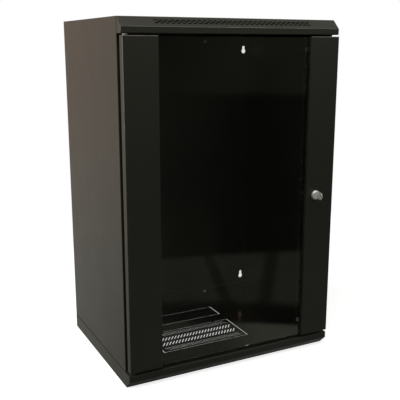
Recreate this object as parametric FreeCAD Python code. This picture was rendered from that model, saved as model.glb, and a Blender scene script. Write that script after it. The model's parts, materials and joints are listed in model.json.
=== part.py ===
import FreeCAD, Part
import math
import os

from FreeCAD import Vector

# A wall-mounted 19-inch rack cabinet with a glass door, in millimetres.
# +X is the viewer's right, +Y runs from the door to the wall, +Z is up.
# The origin is the middle of the base's footprint, on its underside.

# Overall size, from the hood's face to the wall and without the door's overhang
WIDTH = 600.0
DEPTH = 450.0
HEIGHT = 904.0

# Steel sheet of the shell and the door
SHEET = 1.2
FOLD_RADIUS = 2.0
WELDED_END_RADIUS = 1.5

# Hood over the door and base tray under it
HOOD_HEIGHT = 38.0
BASE_HEIGHT = 40.0
SLANT_RUN = 23.0
SLANT_DROP = 22.5
FASCIA_DEPTH = 27.0
HOOD_REAR_FLANGE = 20.0
HOOD_LIP_UPTURN = 8.0
BASE_SIDE_LIP = 15.0
BASE_REAR_FLANGE = 52.0

# Staggered slots in the hood's slanted face
HOOD_SLOT_LENGTH = 10.0
HOOD_SLOT_WIDTH = 3.5
HOOD_SLOT_PITCH = 14.0
HOOD_SLOT_ROWS = 3
HOOD_ROW_PITCH = 4.7
HOOD_GRILLE_MARGIN = 83.0

# Roof tray
ROOF_FLANGE = 20.0
ROOF_REAR_FLANGE = 66.0

# Knock-out plates in the floor and the roof
KNOCKOUT_WIDTH = 266.0
KNOCKOUT_GAP = 3.0
KNOCKOUT_TAB_WIDTH = 5.0
KNOCKOUT_TAB_SPREAD = 170.0
VENT_KNOCKOUT_FRONT = 162.0
VENT_KNOCKOUT_DEPTH = 123.5
CABLE_KNOCKOUT_FRONT = 336.5
CABLE_KNOCKOUT_DEPTH = 62.0
VENT_SLOT_LENGTH = 24.5
VENT_SLOT_WIDTH = 3.2
VENT_SLOT_PITCH = 10.0
VENT_SLOT_LEAN = 37.0
VENT_ROW_BRIDGE = 9.0
VENT_SIDE_MARGIN = 8.0
VENT_END_MARGIN = 4.0

# Side panels
SIDE_FRONT_FOLD = 25.0
SIDE_REAR_FOLD = 12.0
SIDE_BOTTOM_FOLD = 12.0

# Back panel with its keyholes and screws
BACK_EDGE_INSET = 1.0
BACK_CORNER_RADIUS = 3.0
KEYHOLE_SIDE_INSET = 22.0
KEYHOLE_LOW = 72.5
KEYHOLE_TOP_DROP = 81.5
KEYHOLE_RADIUS = 7.0
KEYHOLE_SLOT_WIDTH = 8.5
KEYHOLE_SLOT_RISE = 13.7
BACK_SCREW_SPREAD = 280.0
BACK_SCREW_EDGE = 13.0
BACK_SCREW_RADIUS = 2.5
BACK_SCREW_HEAD_RADIUS = 4.75
BACK_SCREW_HEAD = 2.4

# 19-inch rails
RACK_PITCH = 44.45
RACK_HOLES_PER_UNIT = 3
RACK_HOLE_FIRST = 6.35
RACK_HOLE_STEP = 15.875
RACK_HOLE_SIZE = 9.5
RACK_OPENING = 450.0
RACK_HEADROOM = 20.0
RAIL_SETBACK = 45.0
RAIL_SHEET = 1.5
RAIL_FOLD_RADIUS = 2.0
RAIL_FACE = 28.0
RAIL_HOLE_INSET = 7.55
RAIL_INNER_FLANGE = 8.0
RAIL_OUTER_FLANGE = 12.0
RAIL_END = 2.0

# Brackets that carry the rails on the side panels
BRACKET_SHEET = 1.5
BRACKET_FOLD_RADIUS = 2.5
BRACKET_HEIGHT = 30.0
BRACKET_LENGTH = 150.0
BRACKET_FOOT = 20.0
BRACKET_TAB_EDGE = 4.0
RAIL_BOLT_RADIUS = 3.0
RAIL_BOLT_HEAD_RADIUS = 7.0
RAIL_BOLT_HEAD = 4.0
RAIL_NUT_FLATS = 10.0
RAIL_NUT_HEIGHT = 5.0

# Door
DOOR_SIDE_INSET = 2.0
DOOR_PROUD = 5.0
DOOR_DEPTH = 21.0
DOOR_TOP_GAP = 4.0
DOOR_BOTTOM_GAP = 8.0
STILE_WIDTH = 87.0
STILE_REAR_FOLD = 18.0
STILE_INNER_FOLD = 6.0

# Glass pane, its seals and its clips
GLASS_THICKNESS = 5.0
GLASS_OVERLAP = 18.0
GLASS_END_GAP = 0.8
GLASS_ARRIS = 0.6
SEAL_WALL = 1.0
SEAL_BACK = 1.5
SEAL_SHOW = 1.0
CLIP_SHEET = 1.5
CLIP_HEIGHT = 30.0
CLIP_COUNT = 4
CLIP_END = 65.0
CLIP_FOOT = 18.0
CLIP_STANDOFF = 10.0
CLIP_REACH = 12.5
STUD_RADIUS = 2.0
STUD_LENGTH = 8.0
CLIP_NUT_FLATS = 7.0
CLIP_NUT_HEIGHT = 3.2

# Hinge pins and bushes
HINGE_INSET = 10.0
HINGE_SETBACK = 11.0
PIN_RADIUS = 3.0
RUNNING_FIT = 0.05
BUSH_WALL = 1.5
BUSH_FLANGE_RADIUS = 6.0
BUSH_FLANGE = 2.0
BUSH_COLLAR = 3.2
BUSH_NECK = 3.0
PIN_ENGAGEMENT = 10.0
PIN_BRACKET_SHEET = 1.5
PIN_BRACKET_HEIGHT = 36.0
PIN_BRACKET_WIDTH = 15.0
PIN_BRACKET_LEG = 16.0
PIN_COLLAR_RADIUS = 5.5
PIN_COLLAR = 2.5
PIN_LEVER_DROP = 12.0
PIN_LEVER_LENGTH = 24.0
PIN_BEND_RADIUS = 6.0
SPRING_RADIUS = 4.6
SPRING_WIRE = 1.0
SPRING_TURNS = 4
SHOULDER_RADIUS = 6.0
SHOULDER_GAP = 0.3
RIVET_RADIUS = 2.8
RIVET_HEAD_RADIUS = 3.8
RIVET_HEAD = 2.0

# Cam lock with its key
LOCK_INSET = 58.0
LOCK_LEVEL = 449.0
LOCK_HEAD_RADIUS = 12.5
LOCK_HEAD = 7.0
LOCK_HEAD_ROUNDING = 3.5
LOCK_BODY_RADIUS = 8.0
LOCK_BODY_FLATS = 13.0
LOCK_NUT_FLATS = 22.0
LOCK_NUT_HEIGHT = 4.0
PLUG_RADIUS = 5.5
PLUG_HEAD_RADIUS = 7.5
PLUG_HEAD = 1.5
PLUG_RECESS = 0.5
TANG_SIZE = 6.0
CAM_THICKNESS = 2.5
CAM_WIDTH = 16.0
CAM_REACH = 45.0
CAM_CATCH_GAP = 1.3
CAM_END_GAP = 0.3
CAM_SCREW_RADIUS = 2.0
CAM_SCREW_HEAD_RADIUS = 4.5
CAM_SCREW_HEAD = 3.0
CAM_SCREW_LENGTH = 8.0
KEY_THICKNESS = 2.0
KEY_BLADE_HEIGHT = 8.0
KEY_BLADE_LENGTH = 22.0
KEY_NECK = 9.0
KEY_BOW_RADIUS = 10.5
KEY_HOLE_RADIUS = 3.0
KEY_FIT = 0.2

# Clearances of bolts, screws and rivets in their holes
SCREW_FIT = 0.1
BOLT_FIT = 0.2

# Overshoot of a cutting shape past the face it opens
PAST = 1.0

# Planes and axes that several pieces share
HALF_WIDTH = WIDTH / 2
FRONT = -DEPTH / 2
BACK = DEPTH / 2
SHELL_BACK = BACK - SHEET
FASCIA_BACK = FRONT + FASCIA_DEPTH
HOOD_BOTTOM = HEIGHT - HOOD_HEIGHT
PANEL_INNER = HALF_WIDTH - SHEET

DOOR_HALF = HALF_WIDTH - DOOR_SIDE_INSET
DOOR_FRONT = FRONT - DOOR_PROUD
DOOR_REAR = DOOR_FRONT + DOOR_DEPTH
DOOR_TOP = HOOD_BOTTOM - DOOR_TOP_GAP
DOOR_BOTTOM = BASE_HEIGHT + DOOR_BOTTOM_GAP
DOOR_SKIN = DOOR_FRONT + SHEET
HINGE_X = -DOOR_HALF + HINGE_INSET
HINGE_Y = DOOR_FRONT + HINGE_SETBACK
BUSH_RADIUS = PIN_RADIUS + RUNNING_FIT + BUSH_WALL

GLASS_FRONT = DOOR_FRONT + STILE_INNER_FOLD + SEAL_WALL
GLASS_REAR = GLASS_FRONT + GLASS_THICKNESS
GLASS_HALF = DOOR_HALF - STILE_WIDTH + GLASS_OVERLAP
GLASS_BOTTOM = DOOR_BOTTOM + SHEET + GLASS_END_GAP
GLASS_TOP = DOOR_TOP - SHEET - GLASS_END_GAP
SEAL_EDGE = GLASS_HALF + SEAL_BACK
CLIP_RISER = SEAL_EDGE + CLIP_STANDOFF
STUD_X = CLIP_RISER + CLIP_SHEET + CLIP_FOOT / 2
CLIP_STEP = (DOOR_TOP - DOOR_BOTTOM - 2 * CLIP_END) / (CLIP_COUNT - 1)
CLIP_LEVELS = [DOOR_BOTTOM + CLIP_END + i * CLIP_STEP for i in range(CLIP_COUNT)]

RACK_UNITS = int((HEIGHT - HOOD_HEIGHT - BASE_HEIGHT - RACK_HEADROOM) / RACK_PITCH)
RACK_BOTTOM = (HEIGHT - RACK_UNITS * RACK_PITCH) / 2
RAIL_FRONT = FRONT + RAIL_SETBACK
RAIL_X = RACK_OPENING / 2 + RAIL_HOLE_INSET
RAIL_OUTER = RACK_OPENING / 2 + RAIL_FACE
RAIL_BOLT_LEVEL = RACK_BOTTOM + RACK_HOLE_FIRST + RACK_HOLE_STEP
RAIL_BOLT_LEVELS = (RAIL_BOLT_LEVEL, HEIGHT - RAIL_BOLT_LEVEL)

LOCK_X = DOOR_HALF - LOCK_INSET
LOCK_FACE = DOOR_FRONT - LOCK_HEAD
CAM_FRONT = FASCIA_BACK + SHEET + CAM_CATCH_GAP
LOCK_REAR = CAM_FRONT - CAM_END_GAP
CAM_REAR = CAM_FRONT + CAM_THICKNESS


def box(low, high):
    """A block between two opposite corners."""
    size = [high[i] - low[i] for i in range(3)]
    return Part.makeBox(size[0], size[1], size[2], Vector(*low))


def rod(radius, start, end):
    """A round bar from one point to another."""
    line = Vector(*end) - Vector(*start)
    return Part.makeCylinder(radius, line.Length, Vector(*start), line)


def bar_along_y(radius, x, z, start, end):
    """A round bar along Y, at the place (x, z) in the front view."""
    return rod(radius, (x, start, z), (x, end, z))


def hinge_bar(radius, low, high):
    """An upright round bar on the door's hinge axis."""
    return rod(radius, (HINGE_X, HINGE_Y, low), (HINGE_X, HINGE_Y, high))


def lock_bar(radius, start, end):
    """A round bar along Y on the lock's axis."""
    return bar_along_y(radius, LOCK_X, LOCK_LEVEL, start, end)


def hexagon(flats, start, end):
    """A hexagonal bar along +Y with its corners at the top and the bottom."""
    corner = flats / math.sqrt(3)
    points = []
    for i in range(7):
        turn = math.radians(90 + 60 * i)
        points.append(Vector(*start) + Vector(corner * math.cos(turn), 0, corner * math.sin(turn)))
    return Part.Face(Part.makePolygon(points)).extrude(Vector(*end) - Vector(*start))


def rounded_face(corners, place):
    """A flat face whose corners (across, up, radius) are laid in space by place(across, up)."""
    trims = []
    for i, (across, up, radius) in enumerate(corners):
        here = place(across, up)
        if radius == 0:
            trims.append((here, None, here))
            continue
        back = (place(*corners[i - 1][:2]) - here).normalize()
        ahead = (place(*corners[(i + 1) % len(corners)][:2]) - here).normalize()
        half_angle = back.getAngle(ahead) / 2
        setback = radius / math.tan(half_angle)
        inward = (back + ahead).normalize()
        nearest = here + inward * (radius / math.sin(half_angle) - radius)
        trims.append((here + back * setback, nearest, here + ahead * setback))
    edges = []
    for i, (start, middle, end) in enumerate(trims):
        if middle is not None:
            edges.append(Part.Arc(start, middle, end).toShape())
        following = trims[(i + 1) % len(trims)][0]
        if not following.isEqual(end, 1e-6):
            edges.append(Part.makeLine(end, following))
    return Part.Face(Part.Wire(edges))


def eight_cornered_face(length, width, z):
    """A slot's outline at level z, lying along X, whose ends are halves of a regular octagon."""
    cut = width * (1 - math.sqrt(0.5))
    tips = [(length / 2, width / 2 - cut), (length / 2 - cut, width / 2)]
    quarter_turns = tips + [(-x, y) for x, y in reversed(tips)]
    ring = quarter_turns + [(-x, -y) for x, y in quarter_turns]
    return Part.Face(Part.makePolygon([Vector(x, y, z) for x, y in ring + ring[:1]]))


def in_side_view(x):
    """The placing of a (y, z) outline in the plane at x."""
    return lambda y, z: Vector(x, y, z)


def in_front_view(y):
    """The placing of an (x, z) outline in the plane at y."""
    return lambda x, z: Vector(x, y, z)


def in_plan(z):
    """The placing of an (x, y) outline in the plane at z."""
    return lambda x, y: Vector(x, y, z)


def mirrored(shape):
    """The same piece on the cabinet's other side."""
    return shape.mirror(Vector(0, 0, 0), Vector(1, 0, 0))


def upside_down(shape):
    """The same piece at the other end of the cabinet's height."""
    return shape.mirror(Vector(0, 0, HEIGHT / 2), Vector(0, 0, 1))


def edges_where(shape, test):
    """The edges of a shape whose two end points both pass a test."""
    return [edge for edge in shape.Edges if all(test(vertex.Point) for vertex in edge.Vertexes)]


def folded_shell(outline):
    """A hollow sheet body with the given (y, z) outline, as wide as the cabinet, with welded ends."""
    face = rounded_face(outline, in_side_view(-HALF_WIDTH))
    outside = face.extrude(Vector(WIDTH, 0, 0))
    end_edges = edges_where(outside, lambda p: abs(abs(p.x) - HALF_WIDTH) < 1e-6)
    end_edges = [edge for edge in end_edges if abs(edge.Vertexes[0].X - edge.Vertexes[-1].X) < 1e-6]
    outside = outside.makeFillet(WELDED_END_RADIUS, end_edges)
    inside = face.makeOffset2D(-SHEET)
    inside.translate(Vector(SHEET, 0, 0))
    return outside.cut(inside.extrude(Vector(WIDTH - 2 * SHEET, 0, 0)))


def hood_slots():
    """Cutting shapes for the staggered slots, square to the hood's slanted face."""
    slant = math.atan2(SLANT_DROP, SLANT_RUN)
    reach = WIDTH - 2 * HOOD_GRILLE_MARGIN - HOOD_SLOT_LENGTH
    most = int(reach / HOOD_SLOT_PITCH) + 1
    middle = Vector(0, FRONT + SLANT_RUN / 2, HEIGHT - SLANT_DROP / 2)
    along = Vector(0, math.cos(slant), math.sin(slant))
    slot = eight_cornered_face(HOOD_SLOT_LENGTH, HOOD_SLOT_WIDTH, -SHEET - PAST)
    slot = slot.extrude(Vector(0, 0, SHEET + 2 * PAST))
    slot.rotate(Vector(0, 0, 0), Vector(1, 0, 0), math.degrees(slant))
    slots = []
    for row in range(HOOD_SLOT_ROWS):
        count = most - row % 2
        rise = (row - (HOOD_SLOT_ROWS - 1) / 2) * HOOD_ROW_PITCH
        for i in range(count):
            across = (i - (count - 1) / 2) * HOOD_SLOT_PITCH
            copy = slot.copy()
            copy.translate(middle + along * rise + Vector(across, 0, 0))
            slots.append(copy)
    return Part.makeCompound(slots)


def top_hood():
    """The slotted hood: slanted and upright face, lip over the door, flange against the roof."""
    shell = folded_shell([
        (FASCIA_BACK, HEIGHT, FOLD_RADIUS),
        (FRONT + SLANT_RUN, HEIGHT, FOLD_RADIUS),
        (FRONT, HEIGHT - SLANT_DROP, FOLD_RADIUS),
        (FRONT, HOOD_BOTTOM, FOLD_RADIUS),
        (FASCIA_BACK, HOOD_BOTTOM, FOLD_RADIUS),
    ])
    rear_opening = box(
        (-PANEL_INNER, FASCIA_BACK - FOLD_RADIUS, HOOD_BOTTOM + HOOD_LIP_UPTURN),
        (PANEL_INNER, FASCIA_BACK + PAST, HEIGHT - HOOD_REAR_FLANGE))
    bush_hole = hinge_bar(BUSH_RADIUS, HOOD_BOTTOM - PAST, HOOD_BOTTOM + SHEET + PAST)
    return shell.cut([rear_opening, bush_hole, hood_slots()])


def knockout_opening(front, depth, low, high):
    """Cutting shape for the opening round a knock-out plate, from level low to level high."""
    half = KNOCKOUT_WIDTH / 2 + KNOCKOUT_GAP
    near = FRONT + front - KNOCKOUT_GAP
    return box((-half, near, low), (half, near + depth + 2 * KNOCKOUT_GAP, high))


def knockout_plate(front, depth, low):
    """A knock-out plate with the snap tabs that hold it in its opening."""
    half = KNOCKOUT_WIDTH / 2
    near = FRONT + front
    plate = box((-half, near, low), (half, near + depth, low + SHEET))
    for middle in (-KNOCKOUT_TAB_SPREAD / 2, KNOCKOUT_TAB_SPREAD / 2):
        tab = box(
            (middle - KNOCKOUT_TAB_WIDTH / 2, near - KNOCKOUT_GAP, low),
            (middle + KNOCKOUT_TAB_WIDTH / 2, near + depth + KNOCKOUT_GAP, low + SHEET))
        plate = plate.fuse(tab)
    return plate.removeSplitter()


def vent_slots():
    """Cutting shapes for the rows of leaning slots in the floor's vent plate."""
    lean = math.radians(VENT_SLOT_LEAN)
    across = VENT_SLOT_LENGTH * math.sin(lean) + VENT_SLOT_WIDTH * math.cos(lean)
    along = VENT_SLOT_LENGTH * math.cos(lean) + VENT_SLOT_WIDTH * math.sin(lean)
    row_pitch = along + VENT_ROW_BRIDGE
    rows = int((VENT_KNOCKOUT_DEPTH - 2 * VENT_END_MARGIN + VENT_ROW_BRIDGE) / row_pitch)
    columns = int((KNOCKOUT_WIDTH - 2 * VENT_SIDE_MARGIN - across) / VENT_SLOT_PITCH) + 1
    middle = FRONT + VENT_KNOCKOUT_FRONT + VENT_KNOCKOUT_DEPTH / 2
    half_length = VENT_SLOT_LENGTH / 2
    half_width = VENT_SLOT_WIDTH / 2
    slots = []
    for row in range(rows):
        outer_row = row in (0, rows - 1)
        slot = box((-half_width, -half_length, -PAST), (half_width, half_length, SHEET + PAST))
        slot.rotate(Vector(0, 0, 0), Vector(0, 0, 1), VENT_SLOT_LEAN if outer_row else -VENT_SLOT_LEAN)
        slot.translate(Vector(0, middle + (row - (rows - 1) / 2) * row_pitch, 0))
        for i in range(columns):
            copy = slot.copy()
            copy.translate(Vector((i - (columns - 1) / 2) * VENT_SLOT_PITCH, 0, 0))
            slots.append(copy)
    return Part.makeCompound(slots)


def base_tray():
    """The base: slanted front, floor with two openings, side strips and lips, rear flange."""
    shell = folded_shell([
        (FRONT, BASE_HEIGHT, FOLD_RADIUS),
        (FRONT, SLANT_DROP, FOLD_RADIUS),
        (FRONT + SLANT_RUN, 0, FOLD_RADIUS),
        (SHELL_BACK, 0, FOLD_RADIUS),
        (SHELL_BACK, BASE_HEIGHT, 0),
    ])
    half_opening = HALF_WIDTH - BASE_SIDE_LIP
    top_opening = box(
        (-half_opening, FASCIA_BACK, BASE_HEIGHT - SHEET - PAST),
        (half_opening, SHELL_BACK - SHEET, BASE_HEIGHT + PAST))
    rear_flange = box(
        (-half_opening, SHELL_BACK - SHEET, BASE_HEIGHT - SHEET),
        (half_opening, SHELL_BACK, BASE_REAR_FLANGE))
    rivet_hole = hinge_bar(RIVET_RADIUS, BASE_HEIGHT - SHEET - PAST, BASE_HEIGHT + PAST)
    vent_opening = knockout_opening(VENT_KNOCKOUT_FRONT, VENT_KNOCKOUT_DEPTH, -PAST, SHEET + PAST)
    cable_opening = knockout_opening(CABLE_KNOCKOUT_FRONT, CABLE_KNOCKOUT_DEPTH, -PAST, SHEET + PAST)
    tray = shell.cut(top_opening).fuse(rear_flange).removeSplitter()
    return tray.cut([rivet_hole, vent_opening, cable_opening] + back_screw_holes()[:2])


def roof_panel():
    """The roof tray between the side panels, with a cable opening and flanges all round."""
    low = (-PANEL_INNER, FASCIA_BACK, HEIGHT - ROOF_FLANGE)
    high = (PANEL_INNER, SHELL_BACK, HEIGHT)
    outside = box(low, high)
    top_edges = edges_where(outside, lambda p: abs(p.z - HEIGHT) < 1e-6)
    outside = outside.makeFillet(FOLD_RADIUS, top_edges)
    inside = box(
        (low[0] + SHEET, low[1] + SHEET, low[2] - PAST),
        (high[0] - SHEET, high[1] - SHEET, HEIGHT - SHEET))
    half_flange = HALF_WIDTH - BASE_SIDE_LIP
    rear_flange = box(
        (-half_flange, SHELL_BACK - SHEET, HEIGHT - ROOF_REAR_FLANGE),
        (half_flange, SHELL_BACK, HEIGHT - ROOF_FLANGE))
    opening = knockout_opening(
        CABLE_KNOCKOUT_FRONT, CABLE_KNOCKOUT_DEPTH, HEIGHT - SHEET - PAST, HEIGHT + PAST)
    tray = outside.cut(inside).fuse(rear_flange).removeSplitter()
    return tray.cut([opening] + back_screw_holes()[2:])


def left_side_panel():
    """A side panel folded inwards along its front, rear and bottom edges."""
    low = (-HALF_WIDTH, FASCIA_BACK, BASE_HEIGHT)
    high = (-HALF_WIDTH + SIDE_FRONT_FOLD, SHELL_BACK, HEIGHT)
    outside = box(low, high)
    outer_edges = edges_where(outside, lambda p: abs(p.x + HALF_WIDTH) < 1e-6)
    folded_edges = [edge for edge in outer_edges if edge.BoundBox.ZMin < HEIGHT - PAST]
    outside = outside.makeFillet(FOLD_RADIUS, folded_edges)
    inside = box(
        (low[0] + SHEET, low[1] + SHEET, low[2] + SHEET),
        (high[0] + PAST, high[1] - SHEET, HEIGHT + PAST))
    roof_notch = box(
        (-PANEL_INNER, low[1] - PAST, HEIGHT - ROOF_FLANGE),
        (high[0] + PAST, high[1] + PAST, HEIGHT + PAST))
    rear_trim = box(
        (low[0] + SIDE_REAR_FOLD, high[1] - SHEET - PAST, low[2] - PAST),
        (high[0] + PAST, high[1] + PAST, HEIGHT + PAST))
    bottom_trim = box(
        (low[0] + SIDE_BOTTOM_FOLD, low[1] + SHEET, low[2] - PAST),
        (high[0] + PAST, high[1] + PAST, low[2] + SHEET + PAST))
    return outside.cut([inside, roof_notch, rear_trim, bottom_trim])


def keyhole(x, level):
    """Cutting shape for a keyhole: a round entry with a narrower slot above it."""
    entry = bar_along_y(KEYHOLE_RADIUS, x, level, SHELL_BACK - PAST, BACK + PAST)
    half = KEYHOLE_SLOT_WIDTH / 2
    top = level + KEYHOLE_SLOT_RISE
    slot = box((x - half, SHELL_BACK - PAST, level), (x + half, BACK + PAST, top))
    end = bar_along_y(half, x, top, SHELL_BACK - PAST, BACK + PAST)
    return entry.fuse([slot, end])


def back_screw_places():
    """The (x, z) places of the back panel's screws, the lower pair first."""
    half = BACK_SCREW_SPREAD / 2
    low = BASE_REAR_FLANGE - BACK_SCREW_EDGE
    high = HEIGHT - ROOF_REAR_FLANGE + BACK_SCREW_EDGE
    return [(-half, low), (half, low), (-half, high), (half, high)]


def back_screw_holes():
    """Cutting shapes for the holes of the back panel's screws."""
    radius = BACK_SCREW_RADIUS + SCREW_FIT
    start = SHELL_BACK - SHEET - PAST
    return [bar_along_y(radius, x, z, start, BACK + PAST) for x, z in back_screw_places()]


def back_panel():
    """The back sheet with four keyholes for the wall."""
    half = HALF_WIDTH - BACK_EDGE_INSET
    top = HEIGHT - BACK_EDGE_INSET
    corner = BACK_CORNER_RADIUS
    bottom = BACK_EDGE_INSET
    outline = [(-half, bottom, corner), (half, bottom, corner), (half, top, corner), (-half, top, corner)]
    sheet = rounded_face(outline, in_front_view(SHELL_BACK)).extrude(Vector(0, SHEET, 0))
    reach = HALF_WIDTH - KEYHOLE_SIDE_INSET
    levels = (KEYHOLE_LOW, HEIGHT - KEYHOLE_TOP_DROP)
    keyholes = [keyhole(x, level) for x in (-reach, reach) for level in levels]
    return sheet.cut(keyholes + back_screw_holes())


def back_panel_screws():
    """Pan-head screws through the rear flanges into the back panel, heads inside."""
    screws = []
    seat = SHELL_BACK - SHEET
    for x, z in back_screw_places():
        head = bar_along_y(BACK_SCREW_HEAD_RADIUS, x, z, seat - BACK_SCREW_HEAD, seat)
        front_rim = [edge for edge in head.Edges if edge.BoundBox.YMax < seat - BACK_SCREW_HEAD / 2]
        head = head.makeChamfer(BACK_SCREW_HEAD / 2, front_rim)
        screws.append(head.fuse(bar_along_y(BACK_SCREW_RADIUS, x, z, seat, BACK)).removeSplitter())
    return Part.makeCompound(screws)


def right_rack_rail():
    """A folded rail with three square holes in each rack unit."""
    inner = RACK_OPENING / 2
    low = RACK_BOTTOM - RAIL_END
    length = HEIGHT - 2 * low
    rear = RAIL_FRONT + RAIL_OUTER_FLANGE
    outline = [
        (inner, RAIL_FRONT, RAIL_FOLD_RADIUS), (RAIL_OUTER, RAIL_FRONT, RAIL_FOLD_RADIUS),
        (RAIL_OUTER, rear, 0), (inner, rear, 0)]
    outside = rounded_face(outline, in_plan(low)).extrude(Vector(0, 0, length))
    channel = box(
        (inner + RAIL_SHEET, RAIL_FRONT + RAIL_SHEET, low - PAST),
        (RAIL_OUTER - RAIL_SHEET, rear + PAST, low + length + PAST))
    inner_trim = box(
        (inner - PAST, RAIL_FRONT + RAIL_INNER_FLANGE, low - PAST),
        (inner + RAIL_SHEET + PAST, rear + PAST, low + length + PAST))
    half = RACK_HOLE_SIZE / 2
    holes = []
    for unit in range(RACK_UNITS):
        for hole in range(RACK_HOLES_PER_UNIT):
            level = RACK_BOTTOM + unit * RACK_PITCH + RACK_HOLE_FIRST + hole * RACK_HOLE_STEP
            holes.append(box(
                (RAIL_X - half, RAIL_FRONT - PAST, level - half),
                (RAIL_X + half, RAIL_FRONT + RAIL_SHEET + PAST, level + half)))
    return outside.cut([channel, inner_trim, Part.makeCompound(holes)])


def lower_right_rail_bracket():
    """A channel bracket on the side panel, with a tab behind the rail's face for its bolt."""
    web = RAIL_OUTER - RAIL_SHEET
    low = RAIL_BOLT_LEVEL - BRACKET_HEIGHT / 2
    high = RAIL_BOLT_LEVEL + BRACKET_HEIGHT / 2
    tab_front = RAIL_FRONT + RAIL_SHEET
    tab_rear = tab_front + BRACKET_SHEET
    channel_front = RAIL_FRONT + RAIL_OUTER_FLANGE
    channel_rear = RAIL_FRONT + BRACKET_LENGTH
    outline = [
        (web - BRACKET_SHEET, low, 0), (PANEL_INNER, low, 0),
        (PANEL_INNER, high, BRACKET_FOLD_RADIUS), (web - BRACKET_SHEET, high, BRACKET_FOLD_RADIUS)]
    section = rounded_face(outline, in_front_view(channel_front))
    outside = section.extrude(Vector(0, channel_rear - channel_front, 0))
    inside = box(
        (web, channel_front - PAST, low - PAST),
        (PANEL_INNER - BRACKET_SHEET, channel_rear + PAST, high - BRACKET_SHEET))
    foot_trim = box(
        (PANEL_INNER - BRACKET_SHEET - PAST, channel_front - PAST, low - PAST),
        (PANEL_INNER + PAST, channel_rear + PAST, high - BRACKET_FOOT))
    nose_top = high - BRACKET_FOLD_RADIUS
    nose = box((web - BRACKET_SHEET, tab_front, low), (web, channel_front, nose_top))
    tab = box(
        (RACK_OPENING / 2 + BRACKET_TAB_EDGE, tab_front, low),
        (web, tab_rear, nose_top))
    hole = bar_along_y(
        RAIL_BOLT_RADIUS + BOLT_FIT, RAIL_X, RAIL_BOLT_LEVEL, tab_front - PAST, tab_rear + PAST)
    bracket = outside.cut([inside, foot_trim]).fuse([nose, tab]).removeSplitter()
    return bracket.cut(hole)


def rail_bolt_places():
    """The (x, z) places of the bolts that hold the rails."""
    return [(x, z) for x in (-RAIL_X, RAIL_X) for z in RAIL_BOLT_LEVELS]


def rail_bolts():
    """Bolts with wide round heads that cover the rail's square hole."""
    bolts = []
    for x, z in rail_bolt_places():
        head = bar_along_y(RAIL_BOLT_HEAD_RADIUS, x, z, RAIL_FRONT - RAIL_BOLT_HEAD, RAIL_FRONT)
        front_rim = [edge for edge in head.Edges if edge.BoundBox.YMax < RAIL_FRONT - RAIL_BOLT_HEAD / 2]
        head = head.makeChamfer(RAIL_BOLT_HEAD / 2, front_rim)
        tip = RAIL_FRONT + RAIL_SHEET + BRACKET_SHEET + RAIL_NUT_HEIGHT + RAIL_BOLT_RADIUS / 2
        bolts.append(head.fuse(bar_along_y(RAIL_BOLT_RADIUS, x, z, RAIL_FRONT, tip)).removeSplitter())
    return Part.makeCompound(bolts)


def rail_nuts():
    """Hexagon nuts behind the brackets' tabs."""
    start = RAIL_FRONT + RAIL_SHEET + BRACKET_SHEET
    end = start + RAIL_NUT_HEIGHT
    nuts = []
    for x, z in rail_bolt_places():
        bore = bar_along_y(RAIL_BOLT_RADIUS + SCREW_FIT, x, z, start - PAST, end + PAST)
        nuts.append(hexagon(RAIL_NUT_FLATS, (x, start, z), (x, end, z)).cut(bore))
    return Part.makeCompound(nuts)


def upper_hinge_bush():
    """The nylon bush in the hood's lip: a collar over the door and a neck through the lip."""
    collar = hinge_bar(BUSH_FLANGE_RADIUS, HOOD_BOTTOM - BUSH_COLLAR, HOOD_BOTTOM)
    top = HOOD_BOTTOM + SHEET + BUSH_NECK
    neck = hinge_bar(BUSH_RADIUS, HOOD_BOTTOM, top)
    bore = hinge_bar(PIN_RADIUS + RUNNING_FIT, HOOD_BOTTOM - BUSH_COLLAR - PAST, top + PAST)
    return collar.fuse(neck).cut(bore).removeSplitter()


def lower_hinge_pin():
    """The shouldered pin riveted in the base's lip, which carries the door's weight."""
    rivet_seat = BASE_HEIGHT - SHEET
    shoulder_top = DOOR_BOTTOM - SHOULDER_GAP
    rivet_head = hinge_bar(RIVET_HEAD_RADIUS, rivet_seat - RIVET_HEAD, rivet_seat)
    shank = hinge_bar(RIVET_RADIUS, rivet_seat, BASE_HEIGHT)
    shoulder = hinge_bar(SHOULDER_RADIUS, BASE_HEIGHT, shoulder_top)
    tip = shoulder_top + PIN_ENGAGEMENT
    pin = hinge_bar(PIN_RADIUS, shoulder_top, tip)
    pin_rim = [edge for edge in pin.Edges if edge.BoundBox.ZMin > tip - PIN_RADIUS / 2]
    pin = pin.makeChamfer(PIN_RADIUS / 3, pin_rim)
    return rivet_head.fuse([shank, shoulder, pin]).removeSplitter()


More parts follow.
